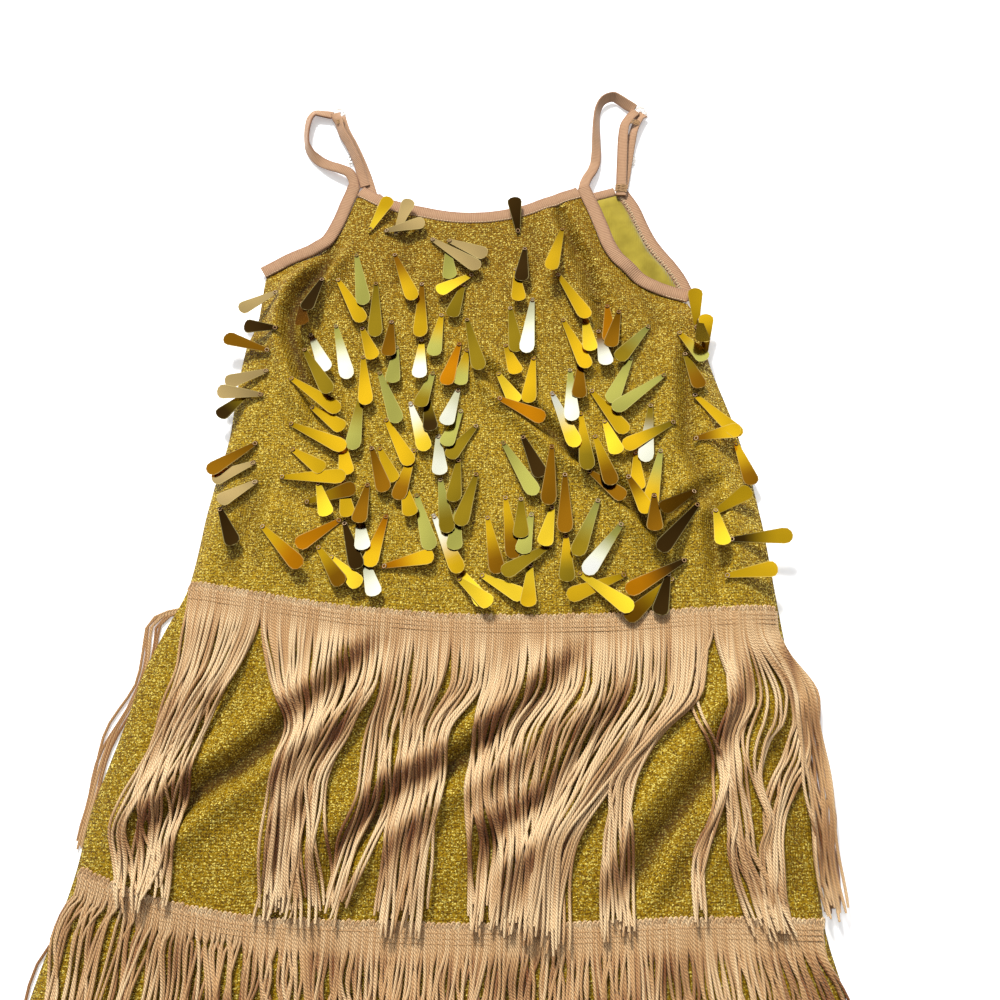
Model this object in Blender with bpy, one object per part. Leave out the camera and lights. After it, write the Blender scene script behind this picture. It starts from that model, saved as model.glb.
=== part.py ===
"""Child's latin dance dress in glitter knit, laid flat on its back, with two tiers of fringe.

The dress is drawn in millimetres: u runs to the viewer's right, v from the neck to the hem and z up
from the table. The panels are thin walls made through rows of named heights. What lies on a panel is
made from the panel's own points, moved out.
"""

import math
from collections import namedtuple

import bmesh
import bpy
import numpy as np
from mathutils import Vector
from mathutils.bvhtree import BVHTree

MM = 0.001

# Thicknesses and gaps
CLOTH = 1.2
SEAM_GAP = 0.3
BINDING_WIDTH = 7.2
BINDING_THICK = 1.6
STRAP_WIDTH = 6.4
STRAP_THICK = 1.3
DOUBLE_STRAP_THICK = 2.2
HEADER_DEEP = 9.0
HEADER_THICK = 1.2

# Heights above the table
SKIRT_LIFT = 1.6
LIFT_FROM = -34.0
LIFT_TO = -14.0
FRONT_LEAD = 26.0
PUFF = 2.2
SIDE_ROLL = 15.0
OFF_CLOTH_LEVEL = 1.5

# Grid of each panel
FRONT_COLUMNS = 26
BACK_COLUMNS = 13
EDGE_COLUMN = 0.02

Point = namedtuple("Point", "u v")
KeyRow = namedtuple("KeyRow", "name front_steps back_steps heights")
Fold = namedtuple("Fold", "name width depth lip path")
Tuft = namedtuple("Tuft", "root_from root_to locks tip_v spans")
StrapPoint = namedtuple("StrapPoint", "u v z roll")

# Side seams, from underarm to hem
LEFT_SIDE = (
    Point(-115.6, -181),
    Point(-115.4, -159),
    Point(-120.4, -140),
    Point(-122.3, -110),
    Point(-122.6, -93),
    Point(-127.6, -59),
    Point(-132.6, -9),
    Point(-142.5, 17),
    Point(-149.4, 36),
    Point(-153.8, 58),
    Point(-158.9, 79),
    Point(-163.8, 100),
    Point(-166.0, 123),
    Point(-177.4, 177),
    Point(-184.5, 220),
    Point(-190.0, 262),
)
RIGHT_SIDE = (
    Point(119.0, -170.5),
    Point(130.4, -130),
    Point(142.6, -90),
    Point(149.1, -57),
    Point(155.5, -1),
    Point(160.2, 42),
    Point(163.0, 82),
    Point(165.0, 136),
    Point(171.7, 166),
    Point(181.0, 215),
    Point(190.0, 266),
)

# Cut edges of the armholes, from shoulder corner to underarm
FRONT_ARMHOLE_LEFT = (
    Point(-62.5, -238),
    Point(-72.9, -217.4),
    Point(-85.5, -200.9),
    Point(-99.7, -193),
    Point(-110.5, -184.6),
    Point(-115.6, -181),
)
FRONT_ARMHOLE_RIGHT = (
    Point(61.5, -237),
    Point(67.7, -219.5),
    Point(78.2, -199.7),
    Point(94.9, -180.6),
    Point(108.5, -173.5),
    Point(119.0, -170.5),
)
BACK_ARMHOLE_LEFT = (
    Point(-56.5, -238),
    Point(-64.5, -222.5),
    Point(-74.5, -206),
    Point(-89.0, -193.5),
    Point(-103.0, -187),
    Point(-115.6, -181),
)
BACK_ARMHOLE_RIGHT = (
    Point(79.0, -237.5),
    Point(85.2, -230.2),
    Point(94.8, -212),
    Point(105.3, -195),
    Point(112.5, -181),
    Point(119.0, -170.5),
)

# Rows across the dress: v at these shares of its width
STATIONS = (0.0, 0.15, 0.3, 0.5, 0.7, 0.85, 1.0)
FRONT_NECKLINE = (-238, -232.2, -225.5, -221.1, -225.7, -231.8, -237)
BACK_NECKLINE = (-238, -225.5, -220, -217.8, -224, -232.5, -237.5)
UNDERARM = KeyRow("underarm", 8, 6, (-181, -179.5, -178, -176, -174, -172, -170.5))
UPPER_BAND = KeyRow("upper_band", 1, 1, (-9, -2.5, 3, 6, 4.5, 1, -1))
LOWER_BAND = KeyRow("lower_band", 1, 1, (123, 137, 142, 142, 139.5, 136.5, 136))
HEM = KeyRow("hem", 0, 0, (262, 268, 273, 275, 273, 270, 266))
YOKE_STEPS = {"front": 8, "back": 6}
SKIRT_STEPS = {"front": 7, "back": 5}
FLOUNCE_STEPS = {"front": 6, "back": 5}

# Folds of the front: depth is how far the trough sinks, lip how far its shoulders rise
FRONT_FOLDS = (
    Fold("left_armhole_crease", 8.5, 3.8, 2.6,
         ((-80, -196), (-81, -180), (-93, -164), (-96, -148), (-89, -124), (-83, -107))),
    Fold("bodice_diagonal", 10, 4.2, 3.6, ((2, -136), (8, -128), (46, -89), (71, -65), (94, -38))),
    Fold("bodice_branch", 9, 3.0, 2.0, ((97, -36), (110, -52), (124, -66))),
    Fold("right_armhole_crease", 9, 2.2, 1.2, ((72, -170), (80, -158), (83, -140), (82, -118))),
    Fold("right_side_long", 9, 2.6, 1.8, ((114, -150), (115, -117), (113, -80), (119, -64), (127, -45), (131, -7))),
    Fold("left_side_long", 10, 1.6, 1.0, ((-112, -84), (-108, -44), (-113, -4))),
    Fold("neckline_left", 8, 1.4, 0.8, ((-40, -222), (-34, -200), (-38, -176))),
    Fold("skirt_left", 10, 4.2, 3.0, ((-36, 18), (-58, 46), (-71, 57), (-92, 77), (-119, 94), (-131, 104), (-135, 120))),
    Fold("skirt_left_low", 8, 2.4, 1.4, ((-64, 92), (-72, 108), (-76, 130))),
    Fold("skirt_middle", 10, 4.4, 3.4,
         ((60, 24), (48, 39), (25, 61), (-4, 79), (-21, 88), (-35, 101), (-47, 117), (-52, 133))),
    Fold("skirt_centre_low", 9, 3.8, 2.8, ((80, 44), (64, 67), (47, 90), (34, 99), (21, 107), (18, 125))),
    Fold("skirt_right", 9, 4.4, 3.6, ((137, 28), (130, 45), (110, 72), (85, 106), (70, 134))),
    Fold("skirt_right_low", 7, 2.0, 1.2, ((113, 93), (109, 109), (97, 135))),
    Fold("skirt_right_side", 7, 1.6, 0.8, ((150, 58), (155, 80), (156, 111), (153, 132))),
    Fold("flounce_one", 12, 2.6, 2.0, ((-112, 156), (-118, 200), (-126, 264))),
    Fold("flounce_two", 13, 2.4, 2.2, ((-38, 158), (-44, 210), (-50, 272))),
    Fold("flounce_three", 12, 2.8, 1.8, ((31, 158), (34, 215), (38, 273))),
    Fold("flounce_four", 13, 2.2, 2.2, ((98, 154), (106, 210), (114, 268))),
)

# Edges of the front that stand open: depth is negative where the cloth rises
OPEN_EDGES = (
    Fold("right_armhole_open", 15, -3.0, 0.0, ((60, -250), (68, -221), (80, -201), (93, -187))),
    Fold("left_armhole_open", 12, -0.9, 0.0, ((-62, -250), (-74, -217), (-88, -200), (-104, -190))),
)

# Locks of the fringe: where each tuft leaves its header, and its left and right at the levels below
UPPER_LEVELS = (36, 60, 86, 111)
UPPER_FRONT = (
    Tuft(-131, -93, 5, 134, ((-134, -104), (-138, -112), (-142, -119), (-148, -119), (-144, -118))),
    Tuft(-93, -62, 3, 139, ((-85, -62), (-77, -64), (-81, -71.5), (-80, -71), (-79, -70))),
    Tuft(-62, -33, 4, 139, ((-61, -35), (-63, -46), (-70, -57), (-70, -56.5), (-69.5, -53))),
    Tuft(-33, -19, 2, 139, ((-34, -20), (-39, -23), (-39.5, -24), (-47, -33), (-51, -42))),
    Tuft(-19, -1, 3, 143, ((-19.5, -2), (-22, -11.5), (-23, -14), (-27, -16.5), (-28, -19))),
    Tuft(-1, 16, 3, 143, ((-1.5, 15), (-11, 0), (-13, -3), (-16, -6), (-18.5, -7))),
    Tuft(16, 32, 3, 141, ((15.5, 31), (10, 22), (7.5, 17.5), (11, 21.5), (12, 20.5))),
    Tuft(32, 51, 3, 142, ((31.5, 49), (23, 36), (19, 32), (23, 32.5), (21.5, 29.5))),
    Tuft(51, 69, 3, 144, ((49.5, 67), (37.5, 56), (33, 47), (33.5, 39), (30.5, 36.5))),
    Tuft(69, 87, 3, 145, ((67.5, 84), (57, 72.5), (48, 57.5), (40, 45.5), (37.5, 42.5))),
    Tuft(87, 106, 4, 147, ((84.5, 103), (73.5, 91), (58.5, 72), (46.5, 58), (43.5, 54))),
    Tuft(106, 118, 2, 142, ((105, 114), (92, 99), (73.5, 85), (71, 82), (70, 83))),
    Tuft(118, 131, 2, 135, ((124, 134), (124, 130), (118, 124.5), (108, 115), (105, 113))),
    Tuft(131, 138, 2, 134, ((135, 142), (130.5, 137), (125, 133.5), (125.5, 135), (125.5, 138))),
    Tuft(138, 147, 2, 134, ((143.5, 154), (140, 152), (141, 152), (138.5, 149), (140, 151.5))),
    Tuft(147, 153.5, 3, 129, ((156, 168), (161, 172), (163, 174), (165, 174.5), (167, 174.5))),
)
LOWER_LEVELS = (165, 198, 232, 262)
LOWER_FRONT = (
    Tuft(-163, -140, 4, 288, ((-172, -148), (-180, -156), (-186, -162), (-190, -167), (-192, -170))),
    Tuft(-140, -112, 5, 291, ((-146, -119), (-152, -127), (-158, -132), (-163, -136), (-166, -138))),
    Tuft(-112, -85, 5, 289, ((-117, -92), (-122, -98), (-127, -101), (-132, -104), (-135, -105))),
    Tuft(-85, -55, 5, 292, ((-88, -60), (-91, -64), (-96, -67), (-99, -71), (-101, -74))),
    Tuft(-55, -28, 5, 290, ((-58, -33), (-60, -37), (-62, -39), (-66, -40), (-69, -42))),
    Tuft(-28, 0, 5, 293, ((-31, -4), (-33, -8), (-35, -9), (-37, -9), (-38, -8))),
    Tuft(0, 28, 5, 291, ((-2, 24), (-3, 21), (-3, 21), (-4, 23), (-5, 25))),
    Tuft(28, 58, 5, 293, ((27, 54), (26, 51), (27, 51), (29, 53), (30, 55))),
    Tuft(58, 85, 5, 290, ((57, 82), (57, 80), (58, 84), (60, 86), (61, 88))),
    Tuft(85, 112, 5, 292, ((85, 110), (86, 110), (90, 114), (92, 118), (94, 121))),
    Tuft(112, 140, 5, 290, ((113, 140), (116, 142), (120, 146), (125, 150), (128, 154))),
    Tuft(140, 163, 4, 288, ((144, 170), (149, 177), (154, 183), (158, 187), (161, 190))),
)
UPPER_BACK = (
    Tuft(-131, -120, 2, 119, ((-158, -148), (-169, -158), (-171, -161), (-173, -164), (-174, -166))),
    Tuft(-120, -90, 3, 124, ((-128, -100), (-136, -106), (-142, -112), (-146, -116), (-148, -118))),
    Tuft(-90, -45, 4, 134, ((-92, -49), (-96, -52), (-100, -56), (-104, -60), (-106, -62))),
    Tuft(-45, 0, 4, 137, ((-46, -3), (-48, -4), (-49, -6), (-51, -9), (-52, -10))),
    Tuft(0, 45, 4, 137, ((1, 45), (2, 46), (3, 47), (4, 49), (4, 50))),
    Tuft(45, 90, 4, 134, ((46, 91), (48, 93), (51, 96), (54, 101), (56, 104))),
    Tuft(90, 130, 4, 130, ((93, 133), (97, 138), (101, 142), (106, 148), (110, 150))),
    Tuft(130, 153, 3, 130, ((142, 165), (150, 172), (154, 175), (157, 177), (158, 178))),
)
LOWER_BACK = (
    Tuft(-163, -120, 5, 286, ((-178, -130), (-186, -138), (-190, -142), (-194, -146), (-195, -147))),
    Tuft(-120, -60, 6, 290, ((-124, -62), (-130, -66), (-134, -69), (-139, -72), (-141, -73))),
    Tuft(-60, 0, 6, 291, ((-62, -2), (-65, -4), (-67, -5), (-69, -6), (-70, -6))),
    Tuft(0, 60, 6, 291, ((1, 62), (2, 65), (3, 67), (4, 69), (4, 70))),
    Tuft(60, 120, 6, 290, ((63, 124), (67, 130), (70, 134), (73, 139), (74, 141))),
    Tuft(120, 163, 5, 286, ((128, 172), (136, 180), (141, 184), (146, 190), (148, 193))),
)
LOCK_FILL = 0.72
LOCK_LEAST_GAP = 0.5
LOCK_LOW = 0.15
LOCK_HIGH = 1.35
LOCK_ROOT_HIGH = 0.85
LOCK_GAP = 0.38
LAY_STEPS = 19
BACK_LOCK_HIGH = 1.1
TIP_TAPER = 0.6

# Straps: height of the middle, and roll about the strap's own line in degrees
STRAP_LEFT_FRONT = (
    StrapPoint(-64.6, -251.6, 4.5, 0),
    StrapPoint(-69.6, -255.6, 4.7, 0),
    StrapPoint(-76.0, -257.6, 3.8, 0),
    StrapPoint(-86.0, -262.6, 2.0, 8),
    StrapPoint(-94.5, -268.4, 1.9, 22),
    StrapPoint(-100.6, -276.0, 2.9, 50),
    StrapPoint(-103.2, -285.0, 3.1, 56),
    StrapPoint(-103.0, -293.5, 3.1, 56),
    StrapPoint(-100.0, -300.2, 2.9, 48),
    StrapPoint(-94.4, -303.8, 2.3, 30),
    StrapPoint(-87.2, -303.0, 1.3, 0),
)
STRAP_RIGHT_FRONT = (
    StrapPoint(64.0, -250.4, 4.6, 0),
    StrapPoint(66.6, -257.6, 2.8, 0),
    StrapPoint(68.2, -266.0, 1.6, 0),
    StrapPoint(68.9, -280.0, 1.2, -10),
    StrapPoint(69.0, -292.0, 2.0, -24),
    StrapPoint(70.6, -303.0, 2.8, -44),
    StrapPoint(75.2, -310.6, 3.1, -56),
    StrapPoint(81.5, -312.8, 2.9, -50),
    StrapPoint(87.4, -309.6, 2.2, -26),
    StrapPoint(93.6, -304.3, 1.3, 0),
)
STRAP_LEFT_BACK = (
    StrapPoint(-81.5, -297.6, 1.3, 0),
    StrapPoint(-77.6, -287.0, 1.7, 0),
    StrapPoint(-72.8, -275.0, 2.9, 0),
    StrapPoint(-69.4, -266.8, 2.9, 0),
    StrapPoint(-67.0, -261.4, 1.8, 0),
    StrapPoint(-63.6, -254.6, 1.4, 0),
    StrapPoint(-59.9, -243.6, 1.4, 0),
)
STRAP_RIGHT_BACK = (
    StrapPoint(96.0, -297.4, 1.3, 0),
    StrapPoint(92.6, -286.0, 1.7, 0),
    StrapPoint(89.6, -273.0, 2.9, 0),
    StrapPoint(87.6, -262.0, 2.9, 0),
    StrapPoint(86.0, -250.0, 3.1, 0),
    StrapPoint(84.2, -238.6, 3.1, 0),
)
RING_RADIUS = 3.4
RING_WIRE = 0.7
RING_LEFT = Point(-82.9, -301.8)
RING_RIGHT = Point(97.2, -301.7)
SLIDER_LEFT = Point(-70.6, -269.6)
SLIDER_RIGHT = Point(88.6, -267.6)
SLIDER_WIDE = 9.4
SLIDER_DEEP = 6.0
SLIDER_THICK = 1.0
SLIDER_BAR = 1.2
SLIDER_LEVEL = 0.9

GLITTER_KNIT = ("glitter_knit", (0.52, 0.38, 0.07), 0.55, 0.35)
BINDING_TAN = ("binding_tan", (0.66, 0.46, 0.33), 0.62, 0.0)
FRINGE_CHAMPAGNE = ("fringe_champagne", (0.78, 0.58, 0.40), 0.5, 0.0)
CLEAR_PLASTIC = ("clear_plastic", (0.82, 0.80, 0.78), 0.15, 0.0)


def clear_scene():
    for obj in list(bpy.data.objects):
        bpy.data.objects.remove(obj, do_unlink=True)


def material(finish):
    name, colour, roughness, metallic = finish
    made = bpy.data.materials.get(name)
    if made is None:
        made = bpy.data.materials.new(name)
        made.use_nodes = True
        shader = made.node_tree.nodes["Principled BSDF"]
        shader.inputs["Base Color"].default_value = (*colour, 1.0)
        shader.inputs["Roughness"].default_value = roughness
        shader.inputs["Metallic"].default_value = metallic
        made.diffuse_color = (*colour, 1.0)
    return made


def new_object(name, bm, finish, parent):
    """Makes a named object of a bmesh whose points are (u, -v, z) in millimetres."""
    bmesh.ops.recalc_face_normals(bm, faces=bm.faces)
    bmesh.ops.scale(bm, vec=(MM, MM, MM), verts=bm.verts)
    mesh = bpy.data.meshes.new(name)
    bm.to_mesh(mesh)
    bm.free()
    mesh.materials.append(material(finish))
    mesh.shade_smooth()
    mesh.set_sharp_from_angle(angle=math.radians(50))
    obj = bpy.data.objects.new(name, mesh)
    obj.parent = parent
    bpy.context.scene.collection.objects.link(obj)
    return obj


def smooth_value(xs, ys, x):
    """A smooth curve through the points (xs, ys) that never overshoots them, read at x."""
    xs, ys, x = (np.asarray(values, float) for values in (xs, ys, x))
    step = np.diff(xs)
    slope = np.diff(ys) / step
    tangent = np.zeros(len(xs))
    before, after = slope[:-1], slope[1:]
    turning = before * after <= 0
    near, far = 2 * step[1:] + step[:-1], step[1:] + 2 * step[:-1]
    safe_before = np.where(turning, 1.0, before)
    safe_after = np.where(turning, 1.0, after)
    mean = (near + far) / (near / safe_before + far / safe_after)
    tangent[1:-1] = np.where(turning, 0.0, mean)
    tangent[0], tangent[-1] = slope[0], slope[-1]
    k = np.clip(np.searchsorted(xs, x) - 1, 0, len(step) - 1)
    t = np.clip((x - xs[k]) / step[k], 0.0, 1.0)
    rise = ys[k + 1] - ys[k]
    bend = t * (1 - t) * ((1 - t) * (tangent[k] * step[k] - rise) + t * (rise - tangent[k + 1] * step[k]))
    return ys[k] + rise * t + bend


def smooth_step(low, high, x):
    t = np.clip((np.asarray(x, float) - low) / (high - low), 0.0, 1.0)
    return t * t * (3 - 2 * t)


def edge_at(armhole, side, v):
    """How far out the cut edge lies at v, along the armhole and then the side seam."""
    points = armhole + side[1:]
    return smooth_value([p.v for p in points], [p.u for p in points], v)


def row_heights(values, share):
    return smooth_value(STATIONS, values, share)


def key_rows(neckline, which):
    """(steps to the next row, v at the stations) of each key row, from neckline to hem."""
    columns = {"front": 1, "back": 2}[which]
    upper_foot = tuple(v + HEADER_DEEP for v in UPPER_BAND.heights)
    lower_foot = tuple(v + HEADER_DEEP for v in LOWER_BAND.heights)
    bodice_steps = UNDERARM[columns] + 1
    return (
        (YOKE_STEPS[which], neckline),
        (bodice_steps, UNDERARM.heights),
        (1, UPPER_BAND.heights),
        (SKIRT_STEPS[which], upper_foot),
        (1, LOWER_BAND.heights),
        (FLOUNCE_STEPS[which], lower_foot),
        (0, HEM.heights),
    )


def column_shares(columns):
    """Shares of the width at which columns lie, with a narrow column at each side."""
    inner = np.linspace(EDGE_COLUMN * 2.6, 1 - EDGE_COLUMN * 2.6, columns - 3)
    return np.concatenate([[0.0, EDGE_COLUMN], inner, [1 - EDGE_COLUMN, 1.0]])


def plan_of(armhole_left, armhole_right, neckline, which, columns):
    """(u, v, names of the band rows) of a panel's grid, a row for each line across the dress."""
    share = column_shares(columns)
    rows, marks = [], []
    keys = key_rows(neckline, which)
    for number, ((steps, upper), (_, lower)) in enumerate(zip(keys, keys[1:])):
        marks.append(len(rows))
        for k in range(steps):
            t = k / steps
            if number == 0:
                t = 1 - (1 - t) ** 1.35
            rows.append((1 - t) * row_heights(upper, share) + t * row_heights(lower, share))
    marks.append(len(rows))
    rows.append(row_heights(keys[-1][1], share))
    v = np.array(rows)
    left = edge_at(armhole_left, LEFT_SIDE, v[:, :1])
    right = edge_at(armhole_right, RIGHT_SIDE, v[:, -1:])
    return left + (right - left) * share, v, marks


def lift_at(v):
    """How far the back's underside stands off the table: the fringe headers lie under the skirt."""
    return SKIRT_LIFT * smooth_step(LIFT_FROM, LIFT_TO, v)


def along_path(path, u, v):
    """(distance from a bent line, share of its length reached) of each point."""
    path = np.asarray(path, float)
    lengths = np.linalg.norm(np.diff(path, axis=0), axis=1)
    reached = np.concatenate([[0.0], np.cumsum(lengths)])
    best = np.full(np.shape(u), np.inf)
    share = np.zeros(np.shape(u))
    for k, (a, b) in enumerate(zip(path, path[1:])):
        across = b - a
        t = np.clip(((u - a[0]) * across[0] + (v - a[1]) * across[1]) / lengths[k] ** 2, 0.0, 1.0)
        away = np.hypot(u - a[0] - t * across[0], v - a[1] - t * across[1])
        closer = away < best
        best = np.where(closer, away, best)
        share = np.where(closer, (reached[k] + t * lengths[k]) / reached[-1], share)
    return best, share


def relief_at(folds, u, v):
    """Sum of the folds: troughs with raised lips that fade towards their ends."""
    total = np.zeros(np.shape(u))
    for fold in folds:
        away, share = along_path(fold.path, u, v)
        x = away / fold.width
        fade = smooth_step(0.0, 0.22, share + 0.06) * smooth_step(0.0, 0.22, 1.06 - share)
        lips = x * x * np.exp(1 - x * x / 2) / 2
        total += fade * (fold.lip * lips - fold.depth * np.exp(-x * x))
    return total


def side_line(armhole, side):
    """The cut edge and the side seam as one line, with a point every 2 mm down the dress."""
    v = np.arange(armhole[0].v, side[-1].v, 2.0)
    return np.stack([edge_at(armhole, side, v), v], axis=1)


def front_top(u, v):
    """Height of the front's outer side above the table."""
    left, _ = along_path(side_line(FRONT_ARMHOLE_LEFT, LEFT_SIDE), u, v)
    right, _ = along_path(side_line(FRONT_ARMHOLE_RIGHT, RIGHT_SIDE), u, v)
    inside = np.minimum(left, right)
    roll = 1 - (1 - np.clip(inside / SIDE_ROLL, 0.0, 1.0)) ** 2
    rest = lift_at(v + FRONT_LEAD) + 2 * CLOTH + SEAM_GAP
    folded = rest + (PUFF + relief_at(FRONT_FOLDS, u, v)) * roll + relief_at(OPEN_EDGES, u, v)
    return np.maximum(folded, rest)


def wall(name, u, v, top, bottom, parent):
    """A closed wall between two grids of heights over the same plan."""
    bm = bmesh.new()
    rows, columns = u.shape
    sheets = []
    for heights in (top, bottom):
        sheets.append([
            [bm.verts.new((u[j, i], -v[j, i], heights[j, i])) for i in range(columns)]
            for j in range(rows)
        ])
    over, under = sheets
    for j in range(rows - 1):
        for i in range(columns - 1):
            bm.faces.new((over[j][i], over[j + 1][i], over[j + 1][i + 1]))
            bm.faces.new((over[j][i], over[j + 1][i + 1], over[j][i + 1]))
            bm.faces.new((under[j][i], under[j + 1][i + 1], under[j + 1][i]))
            bm.faces.new((under[j][i], under[j][i + 1], under[j + 1][i + 1]))
    rim = [(0, i) for i in range(columns)]
    rim += [(j, columns - 1) for j in range(1, rows)]
    rim += [(rows - 1, i) for i in range(columns - 2, -1, -1)]
    rim += [(j, 0) for j in range(rows - 2, 0, -1)]
    for (j, i), (q, p) in zip(rim, rim[1:] + rim[:1]):
        bm.faces.new((over[j][i], over[q][p], under[q][p], under[j][i]))
    return new_object(name, bm, GLITTER_KNIT, parent)


def front_panel(parent):
    u, v, marks = plan_of(
        FRONT_ARMHOLE_LEFT, FRONT_ARMHOLE_RIGHT, FRONT_NECKLINE, "front", FRONT_COLUMNS
    )
    top = front_top(u, v)
    down = np.gradient(top, axis=0) / np.gradient(v, axis=0)
    across = np.gradient(top, axis=1) / np.gradient(u, axis=1)
    thick = CLOTH * np.minimum(np.sqrt(1 + down**2 + across**2), 1.25)
    floor = lift_at(v + FRONT_LEAD) + CLOTH + SEAM_GAP
    bottom = np.maximum(top - thick, floor)
    return wall("front_panel", u, v, top, bottom, parent), (u, v, top, marks)


def back_panel(parent):
    u, v, marks = plan_of(
        BACK_ARMHOLE_LEFT, BACK_ARMHOLE_RIGHT, BACK_NECKLINE, "back", BACK_COLUMNS
    )
    bottom = lift_at(v)
    return wall("back_panel", u, v, bottom + CLOTH, bottom, parent), (u, v, bottom, marks)


def flat_oval(width, thick):
    """Section of a folded strip: six points, broad and flat."""
    inner = 0.4 * width
    return (
        (-width / 2, 0.0),
        (-inner, -thick / 2),
        (inner, -thick / 2),
        (width / 2, 0.0),
        (inner, thick / 2),
        (-inner, thick / 2),
    )


def sweep(name, centres, rolls, section, finish, parent, first_along=None):
    """A strip whose section follows a line and rolls about it, from a stated first direction if given."""
    centres = np.asarray(centres, float)
    bm = bmesh.new()
    rings = []
    for k, centre in enumerate(centres):
        before, after = centres[max(k - 1, 0)], centres[min(k + 1, len(centres) - 1)]
        along = Vector((after - before)).normalized()
        if k == 0 and first_along is not None:
            along = Vector(first_along)
        side = along.cross(Vector((0, 0, 1))).normalized()
        up = side.cross(along)
        roll = math.radians(rolls[k])
        wide = side * math.cos(roll) + up * math.sin(roll)
        tall = up * math.cos(roll) - side * math.sin(roll)
        rings.append([bm.verts.new(Vector(centre) + wide * a + tall * b) for a, b in section])
    count = len(section)
    for first, second in zip(rings, rings[1:]):
        for i in range(count):
            bm.faces.new((first[i], first[(i + 1) % count], second[(i + 1) % count], second[i]))
    bm.faces.new(rings[0])
    bm.faces.new(rings[-1])
    return new_object(name, bm, finish, parent)


def smooth_line(points, pieces):
    """Evenly spaced points on a smooth curve through the given ones."""
    points = np.asarray(points, float)
    reached = np.concatenate([[0.0], np.cumsum(np.linalg.norm(np.diff(points[:, :2], axis=0), axis=1))])
    at = np.linspace(0.0, reached[-1], pieces + 1)
    return np.stack([smooth_value(reached, points[:, k], at) for k in range(points.shape[1])], axis=1)


def offset_line(edge, outward, away):
    """A bent line moved sideways, parallel to itself: outward is 1 to the left of it, -1 to the right."""
    edge = np.asarray(edge, float)
    along = np.diff(edge, axis=0)
    along /= np.linalg.norm(along, axis=1)[:, None]
    normal = np.stack([along[:, 1], -along[:, 0]], axis=1) * outward
    before = np.vstack([normal[:1], normal])
    after = np.vstack([normal, normal[-1:]])
    mitre = (before + after) / (1 + np.sum(before * after, axis=1))[:, None]
    return edge + mitre * away, along


def binding(name, edge, outward, height, trims, parent):
    """Tan binding beyond a cut edge, a row of its section for each point of the edge.

    trims are the lengths added at its two ends, or taken off where they are negative.
    """
    section = flat_oval(BINDING_WIDTH, BINDING_THICK)
    middle = SEAM_GAP + BINDING_WIDTH / 2
    centre, along = offset_line(edge, outward, middle)
    levels = [height(u, v) for u, v in centre]
    lines = [offset_line(edge, outward, middle + reach)[0] for reach, _ in section]
    for line in lines:
        line[0] -= along[0] * trims[0]
        line[-1] += along[-1] * trims[1]
    bm = bmesh.new()
    rings = [
        [bm.verts.new((line[k][0], -line[k][1], level + rise)) for line, (_, rise) in zip(lines, section)]
        for k, level in enumerate(levels)
    ]
    count = len(section)
    for first, second in zip(rings, rings[1:]):
        for i in range(count):
            bm.faces.new((first[i], first[(i + 1) % count], second[(i + 1) % count], second[i]))
    bm.faces.new(rings[0])
    bm.faces.new(rings[-1])
    start = centre[0] - along[0] * trims[0]
    new_object(name, bm, BINDING_TAN, parent)
    return (*start, levels[0]), -along[0]


def front_binding_height(u, v):
    """Middle of a front binding, which goes on at the height of the panel beside it."""
    lowest = BINDING_THICK + SEAM_GAP + BINDING_THICK / 2
    return max(float(front_top(np.array(u), np.array(v))) - CLOTH / 2, lowest)


def back_binding_height(_u, _v):
    return BINDING_THICK / 2


def bindings(front_grid, back_grid, parent):
    """The stretches of binding round the necklines and armholes, and where each one starts."""
    starts = {}
    for which, (u, v, _, marks) in (("front", front_grid), ("back", back_grid)):
        neck = list(zip(u[0], v[0]))[1:-1]
        left = list(zip(u[: marks[1] + 1, 0], v[: marks[1] + 1, 0]))
        right = list(zip(u[: marks[1] + 1, -1], v[: marks[1] + 1, -1]))
        height = front_binding_height if which == "front" else back_binding_height
        top_trim = 5.5 if which == "front" else -1.0
        neck_trim = -2.4 if which == "front" else -1.8
        binding(f"neck_binding_{which}", neck, 1, height, (neck_trim, neck_trim), parent)
        starts["left", which] = binding(
            f"armhole_binding_left_{which}", left, -1, height, (top_trim, 0.0), parent
        )
        starts["right", which] = binding(
            f"armhole_binding_right_{which}", right, 1, height, (top_trim, 0.0), parent
        )
    return starts


def strap(name, points, thick, pieces, parent, binding_start=None):
    """A strap through its table's points, which may go on from the end of a binding."""
    rows = [(p.u, p.v, p.z, p.roll) for p in points]
    first_along = None
    if binding_start is not None:
        (u, v, z), (du, dv) = binding_start
        seats = [(u + du * away, v + dv * away, z, 0.0) for away in (SEAM_GAP, STRAP_WIDTH / 3)]
        rows = seats + rows
        first_along = (du, -dv, 0.0)
    line = smooth_line(rows, pieces)
    centres = [(u, -v, z) for u, v, z, _ in line]
    section = flat_oval(STRAP_WIDTH, thick)
    return sweep(name, centres, line[:, 3], section, BINDING_TAN, parent, first_along)


def ring(name, place, parent):
    """A round wire ring that lies flat."""
    bm = bmesh.new()
    spin_steps, wire_sides = 14, 6
    loops = []
    for k in range(spin_steps):
        turn = 2 * math.pi * k / spin_steps
        loop = []
        for m in range(wire_sides):
            swing = 2 * math.pi * m / wire_sides
            reach = RING_RADIUS + RING_WIRE * math.cos(swing)
            point = (
                place.u + reach * math.cos(turn),
                -place.v + reach * math.sin(turn),
                SLIDER_LEVEL + 0.3 + RING_WIRE * math.sin(swing),
            )
            loop.append(bm.verts.new(point))
        loops.append(loop)
    for first, second in zip(loops, loops[1:] + loops[:1]):
        for m in range(wire_sides):
            n = (m + 1) % wire_sides
            bm.faces.new((first[m], first[n], second[n], second[m]))
    return new_object(name, bm, CLEAR_PLASTIC, parent)


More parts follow.
